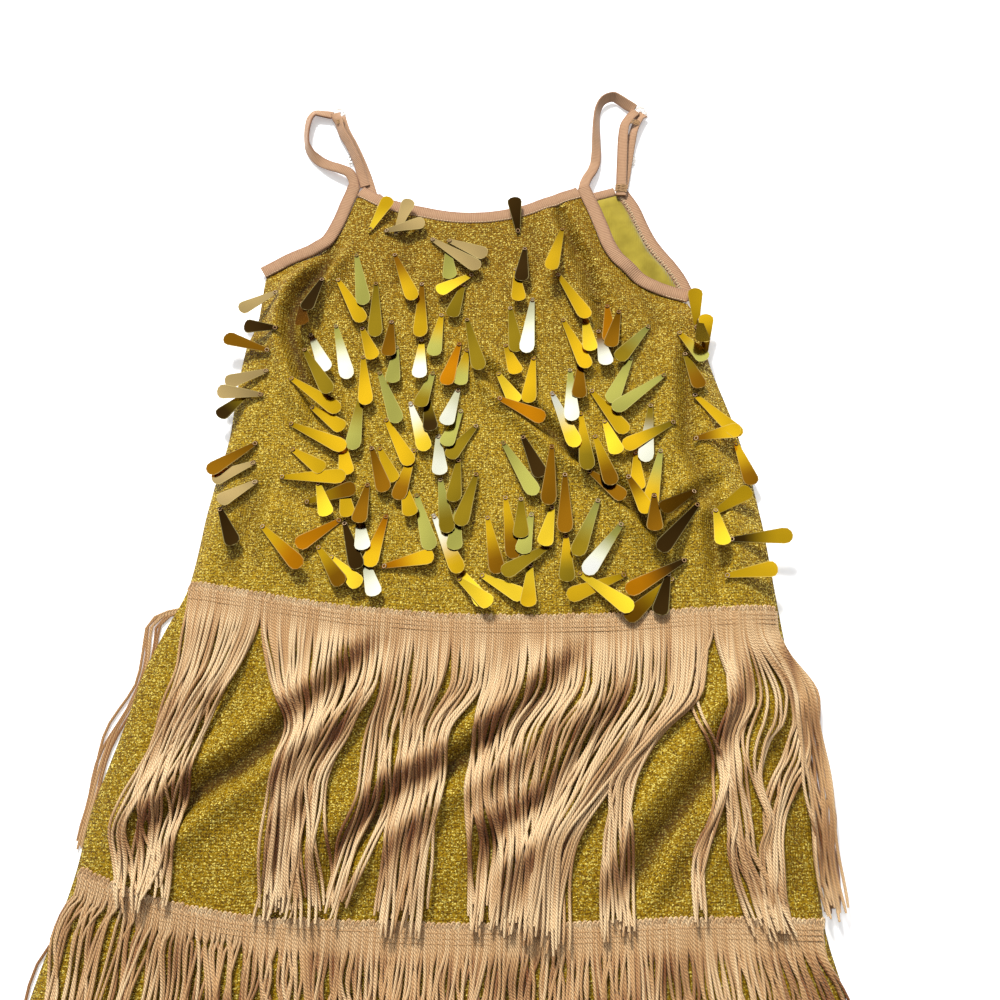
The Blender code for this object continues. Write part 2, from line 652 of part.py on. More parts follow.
def slider(name, place, towards, parent):
    """A flat frame with a middle bar, lying under the doubled strap and square to it."""
    bm = bmesh.new()
    turn = math.atan2(-(towards.v - place.v), towards.u - place.u)
    outer_x, outer_y = SLIDER_DEEP / 2, SLIDER_WIDE / 2
    xs = (-outer_x, -outer_x + SLIDER_BAR, -SLIDER_BAR / 2, SLIDER_BAR / 2, outer_x - SLIDER_BAR, outer_x)
    ys = (-outer_y, -outer_y + SLIDER_BAR, outer_y - SLIDER_BAR, outer_y)
    windows = {(1, 1), (3, 1)}
    low, high = SLIDER_LEVEL - SLIDER_THICK / 2, SLIDER_LEVEL + SLIDER_THICK / 2
    grid = {}
    for a, x in enumerate(xs):
        for b, y in enumerate(ys):
            px = place.u + x * math.cos(turn) - y * math.sin(turn)
            py = -place.v + x * math.sin(turn) + y * math.cos(turn)
            grid[a, b] = [bm.verts.new((px, py, z)) for z in (low, high)]
    solid = {(a, b) for a in range(5) for b in range(3)} - windows
    for a, b in solid:
        corners = (grid[a, b], grid[a + 1, b], grid[a + 1, b + 1], grid[a, b + 1])
        bm.faces.new([c[1] for c in corners])
        bm.faces.new([c[0] for c in reversed(corners)])
        sides = (((a, b - 1), 0, 1), ((a + 1, b), 1, 2), ((a, b + 1), 2, 3), ((a - 1, b), 3, 0))
        for neighbour, p, q in sides:
            if neighbour not in solid:
                bm.faces.new((corners[p][0], corners[q][0], corners[q][1], corners[p][1]))
    return new_object(name, bm, CLEAR_PLASTIC, parent)


def header(name, grid, row, gap, parent):
    """The woven strip that carries a fringe, made from two rows of a panel's points moved out.

    A positive gap puts it on the panel and a negative one lays it on the table under the panel.
    """
    u, v, level, _ = grid
    bm = bmesh.new()
    rings = []
    for i in range(u.shape[1]):
        ring_points = []
        for j in (row, row + 1):
            low = level[j, i] + gap if gap > 0 else 0.0
            ring_points.append([(u[j, i], -v[j, i], z) for z in (low, low + HEADER_THICK)])
        (top_low, top_high), (foot_low, foot_high) = ring_points
        rings.append([bm.verts.new(p) for p in (top_low, top_high, foot_high, foot_low)])
    for first, second in zip(rings, rings[1:]):
        for m in range(4):
            n = (m + 1) % 4
            if m in (1, 3):
                here, there = (m, n) if m == 1 else (n, m)
                bm.faces.new((first[here], first[there], second[there]))
                bm.faces.new((first[here], second[there], second[here]))
            else:
                bm.faces.new((first[m], first[n], second[n], second[m]))
    bm.faces.new(rings[0])
    bm.faces.new(rings[-1])
    return new_object(name, bm, FRINGE_CHAMPAGNE, parent)


def surface_under(objects, level):
    """A function that gives the height of the first solid met from above, or level where there is none."""
    trees = []
    for obj in objects:
        bm = bmesh.new()
        bm.from_mesh(obj.data)
        trees.append(BVHTree.FromBMesh(bm))
        bm.free()

    def height(u, v):
        found = level
        for tree in trees:
            hit = tree.ray_cast(Vector((u * MM, -v * MM, 1.0)), Vector((0, 0, -1)))
            if hit[0] is not None:
                found = max(found, hit[0].z / MM)
        return found

    return height


def lock_intervals(tuft, k):
    """(left, right) of lock k of a tuft at its root and at each level, with a gap to its neighbours."""
    spans = ((tuft.root_from, tuft.root_to),) + tuft.spans
    places = []
    for left, right in spans:
        pitch = (right - left) / tuft.locks
        width = min(pitch * LOCK_FILL, pitch - LOCK_LEAST_GAP)
        middle = left + (k + 0.5) * pitch
        places.append((middle - width / 2, middle + width / 2))
    return places


def height_of(station, height):
    """The highest of what lies under a lock, from its left to its right."""
    left, right, v = station
    return max(height(left + (right - left) * share, v) for share in (0.0, 0.25, 0.5, 0.75, 1.0))


def lay_on(stations, height):
    """Heights of a lock's stations that keep the lines between them clear of what lies under them."""
    levels = [height_of(s, height) for s in stations]
    shares = np.linspace(0.0, 1.0, LAY_STEPS + 2)[1:-1]
    needs = []
    for a, b in zip(stations, stations[1:]):
        needs.append([
            (t, height_of(tuple(x + (y - x) * t for x, y in zip(a, b)), height))
            for t in shares
        ])
    for _ in range(8):
        for k, needed in enumerate(needs):
            for t, need in needed:
                short = need - levels[k] - (levels[k + 1] - levels[k]) * t
                if short > 0.02:
                    levels[k] += short * min(1.0, 1.3 * (1 - t))
                    levels[k + 1] += short * min(1.0, 1.3 * t)
    return levels


def fringe(name, grid, row, tufts, levels, gap, parent, under=()):
    """A header with its locks, fused at their roots: the locks of one tier never touch each other."""
    strip = header(name, grid, row, gap, parent)
    u, v, _, _ = grid
    on_table = gap <= 0
    height = (lambda _u, _v: 0.0) if on_table else surface_under(under, OFF_CLOTH_LEVEL)
    bm = bmesh.new()
    for tuft in tufts:
        for k in range(tuft.locks):
            places = lock_intervals(tuft, k)
            root_middle = sum(places[0]) / 2
            foot = float(np.interp(root_middle, u[row + 1], v[row + 1]))
            downs = [foot - 3.0, foot + 3.0, *levels, tuft.tip_v - 3.0 * (k % 2)]
            spans = [places[0], places[0], *places[1:]]
            stations = [(a, b, down) for (a, b), down in zip(spans, downs)]
            rings = []
            if on_table:
                bases = [LOCK_LOW] * len(stations)
            else:
                bases = [level + LOCK_GAP for level in lay_on(stations, height)]
                bases[0] += LOCK_LOW
            for number, ((a, b, down), base) in enumerate(zip(stations, bases)):
                tall = BACK_LOCK_HIGH - LOCK_LOW if on_table else LOCK_HIGH
                if number == 0:
                    tall = min(tall, LOCK_ROOT_HIGH)
                shrink = TIP_TAPER if number == len(stations) - 1 else 1.0
                middle, half = (a + b) / 2, (b - a) / 2 * shrink
                rings.append([
                    bm.verts.new(point)
                    for point in (
                        (middle - half, -down, base),
                        (middle + half, -down, base),
                        (middle, -down, base + tall * shrink),
                    )
                ])
            for first, second in zip(rings, rings[1:]):
                for m in range(3):
                    n = (m + 1) % 3
                    bm.faces.new((first[m], first[n], second[n], second[m]))
            bm.faces.new(rings[0])
            bm.faces.new(rings[-1])
    locks = new_object(f"{name}_locks", bm, FRINGE_CHAMPAGNE, parent)
    locks.hide_render = True
    locks.display_type = "WIRE"
    fuse = strip.modifiers.new("roots", "BOOLEAN")
    fuse.operation = "UNION"
    fuse.object = locks
    return strip


def stand_on_origin(dress):
    """Moves the whole dress so that the origin is at the middle of its box's underside."""
    bpy.context.view_layer.update()
    graph = bpy.context.evaluated_depsgraph_get()
    corners = []
    for obj in dress.children:
        if not obj.hide_render:
            shown = obj.evaluated_get(graph)
            corners += [shown.matrix_world @ Vector(corner) for corner in shown.bound_box]
    low = Vector([min(c[k] for c in corners) for k in range(3)])
    high = Vector([max(c[k] for c in corners) for k in range(3)])
    dress.location = (-(low.x + high.x) / 2, -(low.y + high.y) / 2, -low.z)


def main():
    clear_scene()
    dress = bpy.data.objects.new("dress", None)
    bpy.context.scene.collection.objects.link(dress)
    front, front_grid = front_panel(dress)
    _, back_grid = back_panel(dress)
    starts = bindings(front_grid, back_grid, dress)
    strap("strap_left_front", STRAP_LEFT_FRONT, STRAP_THICK, 20, dress, starts["left", "front"])
    strap("strap_right_front", STRAP_RIGHT_FRONT, STRAP_THICK, 18, dress, starts["right", "front"])
    strap("strap_left_back", STRAP_LEFT_BACK, DOUBLE_STRAP_THICK, 9, dress)
    strap("strap_right_back", STRAP_RIGHT_BACK, DOUBLE_STRAP_THICK, 7, dress)
    ring("ring_left", RING_LEFT, dress)
    ring("ring_right", RING_RIGHT, dress)
    slider("slider_left", SLIDER_LEFT, Point(-77.6, -287.0), dress)
    slider("slider_right", SLIDER_RIGHT, Point(92.6, -286.0), dress)
    front_upper_row, front_lower_row = front_grid[3][2], front_grid[3][4]
    back_upper_row, back_lower_row = back_grid[3][2], back_grid[3][4]
    lower = fringe(
        "fringe_lower_front", front_grid, front_lower_row, LOWER_FRONT, LOWER_LEVELS, SEAM_GAP, dress, (front,)
    )
    fringe(
        "fringe_upper_front", front_grid, front_upper_row, UPPER_FRONT, UPPER_LEVELS, SEAM_GAP, dress, (front, lower)
    )
    fringe("fringe_upper_back", back_grid, back_upper_row, UPPER_BACK, UPPER_LEVELS, -SEAM_GAP, dress)
    fringe("fringe_lower_back", back_grid, back_lower_row, LOWER_BACK, LOWER_LEVELS, -SEAM_GAP, dress)
    stand_on_origin(dress)


main()
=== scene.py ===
"""Latin dance dress in glitter knit, laid flat on its back, ready for a product picture.

Lengths inside the classes are in millimetres on the dress: u runs to the viewer's right, v from the
neck down to the hem and z up from the table. Bench.world() turns them into metres in the part's frame.
"""

from __future__ import annotations

import logging
import math
import random
from dataclasses import dataclass, field
from enum import Enum
from typing import Iterable, NamedTuple, Sequence, TypeVar

import bmesh
import bpy
import numpy as np
from mathutils import Euler, Matrix, Vector

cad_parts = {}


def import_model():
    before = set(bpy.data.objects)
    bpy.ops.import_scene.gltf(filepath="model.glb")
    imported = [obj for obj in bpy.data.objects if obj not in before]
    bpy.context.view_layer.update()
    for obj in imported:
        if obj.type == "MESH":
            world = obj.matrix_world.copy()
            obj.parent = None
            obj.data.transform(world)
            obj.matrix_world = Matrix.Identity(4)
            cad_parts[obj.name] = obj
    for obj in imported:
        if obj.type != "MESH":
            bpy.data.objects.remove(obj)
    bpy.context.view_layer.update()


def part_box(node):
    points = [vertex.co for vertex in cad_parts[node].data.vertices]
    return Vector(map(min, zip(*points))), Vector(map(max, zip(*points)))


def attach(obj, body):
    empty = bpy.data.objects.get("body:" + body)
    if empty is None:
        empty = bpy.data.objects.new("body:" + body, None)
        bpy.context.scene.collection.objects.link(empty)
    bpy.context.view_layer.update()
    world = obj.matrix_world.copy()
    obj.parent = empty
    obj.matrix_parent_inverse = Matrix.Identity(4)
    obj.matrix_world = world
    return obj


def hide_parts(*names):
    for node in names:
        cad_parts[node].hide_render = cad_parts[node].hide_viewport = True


Array = np.ndarray
Row = TypeVar("Row")
Piece = bpy.types.Object
Mesh = bpy.types.Mesh
Material = bpy.types.Material

MILLIMETRE = 0.001


class Point(NamedTuple):
    """A place on the dress as it lies."""

    u: float
    v: float


class Fold(NamedTuple):
    """A trough that sinks by depth, with shoulders that rise by lip, along a bent line."""

    width: float
    depth: float
    lip: float
    path: tuple[tuple[float, float], ...]


class Tuft(NamedTuple):
    """Strands that hang together: where they leave the header, how dense they are, and how they run.

    Each row of the run gives a level v, and the tuft's left and right there. The last one is the tips.
    """

    root_from: float
    root_to: float
    fullness: float
    run: tuple[tuple[float, float, float], ...]


class StrapPoint(NamedTuple):
    """A place on a strap's middle line, with the roll of the strap in degrees."""

    u: float
    v: float
    z: float
    roll: float


class Bar(NamedTuple):
    """A block of stitches across a strap: its middle, its turn in radians, half its width and its rows."""

    u: float
    v: float
    z: float
    turn: float
    half: float
    rows: int


class Sequin(NamedTuple):
    """A loose sequin as the photograph shows it: its sewn end, its round end and its tones."""

    sewn_x: float
    sewn_y: float
    round_x: float
    round_y: float
    tones: str


def table(kind: type[Row], *rows: tuple) -> tuple[Row, ...]:
    """Turns plain rows into rows with named columns."""
    return tuple(kind(*row) for row in rows)


# Garment outline

LEFT_SIDE = table(
    Point, (-115.6, -181), (-115.4, -159), (-120.4, -140), (-122.3, -110), (-122.6, -93), (-127.6, -59),
    (-132.6, -9), (-142.5, 17), (-149.4, 36), (-153.8, 58), (-158.9, 79), (-163.8, 100), (-166.0, 123),
    (-177.4, 177), (-184.5, 220), (-190.0, 262),
)
RIGHT_SIDE = table(
    Point, (119.0, -170.5), (130.4, -130), (142.6, -90), (149.1, -57), (155.5, -1), (160.2, 42),
    (163.0, 82), (165.0, 136), (171.7, 166), (181.0, 215), (190.0, 266),
)
FRONT_ARMHOLE_LEFT = table(
    Point, (-66.9, -240.0), (-69.1, -233.1), (-70.9, -226.1), (-74.3, -215.9), (-78.8, -206.9),
    (-81.9, -203.8), (-87.5, -199.9), (-94.1, -197.2), (-101.1, -194.0), (-108.5, -189.4), (-114.0, -186.0),
)
FRONT_ARMHOLE_RIGHT = table(
    Point, (61.7, -237.5), (66.0, -226.8), (70.1, -214.8), (73.0, -205.9), (78.2, -196.1), (85.5, -188.5),
    (93.6, -181.1), (102.4, -176.2), (110.4, -173.4), (118.8, -171.0),
)
BACK_ARMHOLE_LEFT = table(
    Point, (-58.0, -240), (-65.5, -224.5), (-75.5, -209), (-89.0, -197.5), (-103.0, -191), (-114.0, -186),
)
BACK_ARMHOLE_RIGHT = table(
    Point, (82.0, -242.5), (88.4, -231.2), (92.4, -220.1), (97.2, -209.1), (102.8, -200.2), (107.8, -193.3),
    (113.0, -184.2), (117.2, -172.8),
)
FRONT_ARMHOLES = (FRONT_ARMHOLE_LEFT, FRONT_ARMHOLE_RIGHT)
BACK_ARMHOLES = (BACK_ARMHOLE_LEFT, BACK_ARMHOLE_RIGHT)

# Levels v of the lines across the dress, at shares of its width

STATIONS = (0.0, 0.15, 0.3, 0.5, 0.7, 0.85, 1.0)
FRONT_NECKLINE = (-240, -229.8, -224.6, -220.3, -223.8, -230.3, -237.5)
BACK_NECKLINE = (-240, -226, -220, -217.8, -226, -236.5, -242.5)
UNDERARM = (-181, -179.5, -178, -176, -174, -172, -170.5)
UPPER_BAND = (-9, -2.5, 3, 6, 4.5, 1, -1)
LOWER_BAND = (123, 137, 142, 142, 139.5, 136.5, 136)
HEM = (262, 268, 273, 275, 273, 270, 266)
HEADER_DEEP = 9.0
HEM_CORNER_U = -190.0
HEM_LOWEST_V = 275.0

# How the cloth lies

CLOTH = 1.2
SEAM_GAP = 0.3
SKIRT_LIFT = 1.6
LIFT_FROM = -34.0
LIFT_TO = -14.0
FRONT_LEAD = 26.0
PUFF = 3.0
SIDE_ROLL = 15.0
BACK_FRINGE_TOP = 1.9

FRONT_FOLDS = table(
    Fold,
    # bodice
    (5.0, 6.0, 5.2,
         ((-74, -212), (-78, -203), (-83, -189), (-93, -175), (-97, -162), (-96, -148), (-91, -136),
          (-86, -122), (-80, -110), (-74, -96))),
    (4.4, 5.6, 4.8,
         ((4, -137), (12, -128), (21, -117), (30, -108), (43, -96), (55, -84), (72, -72), (85, -56), (98, -40),
          (104, -27))),
    (5.0, 4.0, 2.6, ((96, -38), (104, -46), (110, -52), (121, -59), (132, -67))),
    (4.2, 3.6, 2.4, ((48, -232), (50, -227), (53, -217), (58, -206), (62, -196))),
    (5.4, 3.6, 2.4, ((58, -206), (65, -189), (71, -170), (74, -157), (80, -138))),
    (5.0, 1.8, 1.2, ((92, -183), (100, -165), (106, -150))),
    (5.8, 3.4, 2.8,
         ((118, -154), (117, -134), (117, -111), (116, -85), (121, -72), (126, -56), (127, -25), (129, -2))),
    (9, 2.0, 1.4, ((-112, -84), (-108, -44), (-113, -4))),
    (6, 2.2, 1.6, ((-100, -66), (-104, -40), (-98, -12))),
    (7, 1.8, 1.2, ((-40, -222), (-34, -200), (-38, -176))),
    (6, 1.4, 1.0, ((34, -222), (38, -196), (30, -172))),
    (8, 1.5, 1.2, ((-96, -60), (-60, -46), (-30, -44))),
    (7, 1.4, 1.1, ((-20, -92), (4, -66), (12, -36))),
    # skirt
    (7.0, 6.0, 5.0,
         ((-36, 20), (-56, 44), (-72, 56), (-81, 64), (-89, 71), (-98, 79), (-107, 84), (-115, 90), (-121, 96),
          (-132, 106), (-135, 120))),
    (6.5, 2.8, 1.8, ((-64, 92), (-72, 108), (-76, 130))),
    (7.0, 5.8, 4.6,
         ((60, 24), (48, 39), (25, 61), (-4, 79), (-21, 88), (-35, 101), (-47, 117), (-52, 133))),
    (6.4, 5.4, 4.0, ((80, 44), (64, 67), (47, 90), (34, 99), (21, 107), (18, 125))),
    (6.0, -3.4, 0.0, ((134, 24), (126, 42), (106, 68), (81, 100), (64, 130))),
    (6.4, 5.4, 2.4, ((144, 32), (136, 51), (118, 76), (93, 107), (78, 133))),
    (7, 2.2, 1.4, ((113, 93), (109, 109), (97, 135))),
    (7, 2.2, 1.2, ((150, 58), (155, 80), (156, 111), (153, 132))),
    # flounces under the lower fringe
    (12, 2.6, 2.0, ((-112, 156), (-118, 200), (-126, 264))),
    (13, 2.4, 2.2, ((-38, 158), (-44, 210), (-50, 272))),
    (12, 2.8, 1.8, ((31, 158), (34, 215), (38, 273))),
    (13, 2.2, 2.2, ((98, 154), (106, 210), (114, 268))),
)
# inside the right armhole
BACK_FOLDS = table(
    Fold,
    (4.2, -1.9, -0.4, ((78, -232), (87, -220), (95, -204), (103, -192), (108, -182))),
    (3.0, -1.5, -0.3, ((88, -226), (94, -214), (95, -204))),
    (3.2, -1.6, -0.3, ((92, -196), (101, -197), (108, -190))),
)
# armhole edges that stand off the back
OPEN_EDGES = table(
    Fold,
    (15, -3.0, 0.0, ((60, -250), (68, -221), (80, -201), (93, -187))),
    (12, -0.9, 0.0, ((-62, -250), (-74, -217), (-88, -200), (-104, -190))),
)

# Fringe

STRAND_PITCH = 1.45
STRAND_RADIUS = 0.72
UPPER_FRONT = table(
    Tuft,
    (-132, -94, 1.0,
         ((30, -132, -100), (49, -135, -109.5), (64, -138.6, -115), (79, -142.4, -118), (94, -147, -119),
          (107, -151, -119.5), (119, -148, -120), (136, -144, -121))),
    (-94, -62, 1.0, ((36, -88, -62), (60, -76, -62), (86, -79, -71), (111, -79, -71), (139, -78, -70))),
    (-62, -33, 1.0, ((36, -61, -34), (60, -62, -46), (86, -70, -57), (111, -70, -57), (140, -69, -53))),
    (-33, -19, 1.0, ((36, -34, -20), (60, -39, -22), (86, -39, -23), (111, -47, -33), (140, -51, -42))),
    (-19, -1, 1.0, ((36, -19, -2), (60, -21, -12), (86, -23, -14), (111, -27, -16), (143, -28, -19))),
    (-1, 16, 1.0, ((36, -1, 15), (60, -11, 0), (86, -13, -3), (111, -16, -6), (143, -18, -7))),
    (16, 32, 1.0, ((36, 15, 31), (60, 10, 22), (86, 8, 18), (111, 11, 23), (141, 12, 21))),
    (32, 51, 1.0, ((36, 31, 50), (60, 23, 36), (86, 19, 32), (111, 23, 33), (142, 21, 30))),
    (51, 69, 1.0, ((36, 50, 68), (60, 38, 56), (86, 33, 47), (111, 33, 39), (144, 30, 37))),
    (69, 87, 1.0, ((36, 68, 85), (60, 58, 73), (86, 48, 58), (111, 40, 45), (145, 37, 42))),
    (87, 106, 1.0, ((36, 86, 104), (60, 74, 91), (86, 59, 72), (111, 45, 57), (148, 43, 52))),
    (106, 121, 1.2, ((39, 104, 117), (59, 92, 98), (84, 73, 84), (109, 71, 82), (142, 69, 84))),
    (121, 123.5, 1.0,
         ((39, 110, 113), (52, 113, 115), (61, 118, 120), (70, 122, 125), (87, 120, 124), (104, 111, 118),
          (125, 109, 112), (136, 108, 111))),
    (123.5, 129, 1.5,
         ((43, 129, 134), (61, 124, 129), (79, 123, 126), (87, 120, 124), (96, 116, 121), (104, 111, 118),
          (113, 109, 114), (125, 109, 112), (138, 109, 112))),
    (129, 138, 2.0,
         ((43, 129, 142), (61, 124, 134), (78, 124, 133), (96, 125, 135), (108, 125, 135), (120, 127, 141),
          (141, 132, 150))),
    (138, 142, 1.5,
         ((42, 144, 157), (52, 140, 157), (61, 136, 149), (70, 134, 144), (78, 136, 141), (87, 139, 143),
          (95, 142, 145), (108, 138, 142), (124, 139, 143), (138, 140, 145))),
    (142, 148, 2.0,
         ((42, 157, 164), (51, 158, 166), (60, 154, 166), (69, 151, 164), (78, 146, 159), (87, 143, 156),
          (95, 142, 153), (108, 141, 150), (124, 141, 149), (138, 142, 152))),
    (148, 154, 3.4,
         ((41, 160, 171), (60, 161, 171.5), (77, 161.5, 172), (94, 162.5, 172), (107, 163.5, 172),
          (119, 164.5, 172.5), (131, 167, 173))),
)
LOWER_FRONT = table(
    Tuft,
    (-164, -140, 0.9,
         ((141, -169, -141), (153, -172, -143), (176, -169, -145), (205, -174, -148), (235, -178, -151),
          (288, -182, -155))),
    (-140, -112, 1.0,
         ((153, -142, -113), (176, -144, -112), (205, -147, -114), (235, -150, -116), (291, -154, -119))),
    (-112, -85, 1.0,
         ((153, -112, -85), (176, -111, -83), (205, -113, -84), (235, -115, -86), (289, -118, -88))),
    (-85, -55, 1.1, ((165, -85, -54), (182, -83, -53), (205, -84, -54), (235, -86, -55), (292, -88, -57))),
    (-55, -28, 1.1, ((165, -54, -28), (182, -53, -27), (205, -54, -28), (235, -55, -29), (290, -57, -30))),
    (-28, 0, 1.1, ((165, -28, -1), (182, -28, -2), (205, -29, -3), (235, -30, -3), (293, -31, -3))),
    (0, 28, 1.1, ((165, -1, 27), (182, -1, 26), (205, -2, 25), (235, -2, 24), (291, -3, 25))),
    (28, 58, 1.1, ((165, 27, 57), (182, 27, 56), (205, 27, 53), (235, 28, 52), (293, 29, 54))),
    (58, 85, 1.1, ((165, 57, 85), (182, 58, 85), (205, 58, 83), (235, 58, 85), (290, 60, 88))),
    (85, 112, 1.1, ((165, 85, 113), (182, 86, 114), (205, 87, 114), (235, 90, 117), (292, 93, 121))),
    (112, 140, 1.1, ((165, 113, 144), (182, 116, 147), (205, 118, 147), (235, 123, 149), (290, 127, 154))),
    (140, 164, 1.1, ((165, 144, 172), (182, 149, 178), (205, 153, 182), (235, 157, 187), (288, 161, 192))),
)
UPPER_BACK = table(
    Tuft,
    (-131, -120, 1.0,
         ((6, -150, -141), (14, -154, -147), (24, -153, -146), (36, -153, -147), (48, -157, -150),
          (58, -162, -154), (70, -166, -158), (84, -168, -160), (98, -168, -162), (113, -169, -165))),
    (-120, -90, 1.0,
         ((36, -128, -100), (60, -136, -106), (86, -142, -112), (111, -146, -116), (124, -148, -118))),
    (-90, -45, 1.0, ((36, -92, -49), (60, -96, -52), (86, -100, -56), (111, -104, -60), (134, -106, -62))),
    (-45, 0, 1.0, ((36, -46, -3), (60, -48, -4), (86, -49, -6), (111, -51, -9), (137, -52, -10))),
    (0, 45, 1.0, ((36, 1, 45), (60, 2, 46), (86, 3, 47), (111, 4, 49), (137, 4, 50))),
    (45, 90, 1.0, ((36, 46, 91), (60, 48, 93), (86, 51, 96), (111, 54, 101), (134, 56, 104))),
    (90, 130, 1.0, ((36, 93, 133), (60, 97, 138), (86, 101, 142), (111, 106, 148), (130, 110, 150))),
    (130, 153, 1.0, ((36, 142, 162), (60, 150, 167), (86, 154, 169), (111, 157, 171), (130, 158, 172))),
)
LOWER_BACK = table(
    Tuft,
    (-163, -120, 1.0,
         ((165, -178, -130), (198, -186, -138), (232, -190, -142), (262, -194, -146), (286, -195, -147))),
    (-120, -60, 1.0,
         ((165, -124, -62), (198, -130, -66), (232, -134, -69), (262, -139, -72), (290, -141, -73))),
    (-60, 0, 1.0, ((165, -62, -2), (198, -65, -4), (232, -67, -5), (262, -69, -6), (291, -70, -6))),
    (0, 60, 1.0, ((165, 1, 62), (198, 2, 65), (232, 3, 67), (262, 4, 69), (291, 4, 70))),
    (60, 120, 1.0, ((165, 63, 124), (198, 67, 130), (232, 70, 134), (262, 73, 139), (290, 74, 141))),
    (120, 163, 1.0, ((165, 128, 172), (198, 136, 180), (232, 141, 184), (262, 146, 190), (286, 148, 193))),
)

# Straps: middle line from end to end, with its height and roll

STRAP_LEFT_FRONT = table(
    StrapPoint, (-68.7, -245.9, 4.0, 0), (-69.6, -250.6, 4.4, 2), (-72.4, -255.8, 4.9, 6),
    (-78.4, -259.1, 4.6, 4), (-84.5, -261.9, 3.6, 6), (-90.8, -265.9, 2.5, 18), (-96.6, -271.5, 2.6, 44),
    (-99.8, -278.4, 3.1, 54), (-100.6, -287.9, 3.1, 44), (-99.9, -296.4, 2.9, 32), (-96.4, -301.2, 2.6, 16),
    (-91.0, -300.4, 2.4, 6), (-86.6, -299.6, 2.3, 0),
)
STRAP_RIGHT_FRONT = table(
    StrapPoint, (63.1, -243.4, 5.7, 0), (64.0, -248.0, 5.0, 0), (65.6, -252.8, 4.0, 0),
    (68.5, -258.8, 2.8, 0), (70.4, -265.8, 1.8, -6), (70.9, -274.0, 1.9, -22), (70.9, -287.3, 2.6, -42),
    (71.4, -298.3, 3.1, -56), (73.2, -305.4, 3.3, -62), (76.6, -309.8, 3.4, -64), (81.0, -311.4, 3.3, -60),
    (85.1, -309.0, 3.1, -54), (89.4, -305.6, 2.9, -40), (93.8, -302.9, 2.5, -10),
)
STRAP_LEFT_BACK = table(
    StrapPoint, (-82.2, -299.6, 0.9, 0), (-81.2, -297.4, 1.5, -12), (-80.0, -294.8, 2.2, -30),
    (-76.4, -285.6, 2.6, -44), (-71.6, -276.5, 2.7, -46), (-67.4, -267.5, 2.7, -44),
    (-64.9, -261.2, 2.4, -34), (-61.6, -252.0, 1.9, -12), (-58.6, -242.6, 1.9, 0),
)
STRAP_LEFT_TURNED = table(
    StrapPoint, (-84.6, -300.4, 2.7, 0), (-83.8, -297.6, 3.1, -14), (-82.4, -294.8, 3.6, -32),
    (-79.2, -285.6, 4.1, -44), (-74.2, -276.5, 4.2, -46), (-70.0, -267.5, 4.2, -44),
    (-67.4, -261.2, 3.9, -34), (-65.0, -253.6, 3.2, -12), (-62.8, -247.6, 2.9, 0),
)
STRAP_RIGHT_BACK = table(
    StrapPoint, (94.4, -300.6, 3.0, 0), (90.6, -296.0, 3.2, -14), (87.4, -289.7, 3.4, -20),
    (86.2, -279.6, 3.3, -16), (85.7, -268.9, 3.2, -12), (85.2, -258.4, 3.0, -8), (84.9, -250.0, 3.0, 0),
    (84.6, -241.0, 3.2, 0),
)
STRAP_RIGHT_TURNED = table(
    StrapPoint, (98.9, -299.4, 1.9, 0), (96.6, -296.6, 2.2, -26), (92.9, -287.2, 2.2, -36),
    (90.7, -277.7, 1.5, -14), (89.0, -267.0, 1.2, 0), (87.4, -256.5, 1.1, 0), (85.9, -247.4, 1.4, 0),
)
STRAP_WIDTH = 6.0
STRAP_THICK = 1.3
RING_LEFT = Point(-82.9, -301.8)
RING_RIGHT = Point(97.2, -301.7)
SLIDER_LEFT = Point(-70.6, -269.6)
SLIDER_RIGHT = Point(88.6, -267.6)
SLIDER_LEFT_FACES = Point(-77.6, -287.0)
SLIDER_RIGHT_FACES = Point(92.6, -286.0)

# Loose sequins, by where they show: tones run from the sewn end to the round end

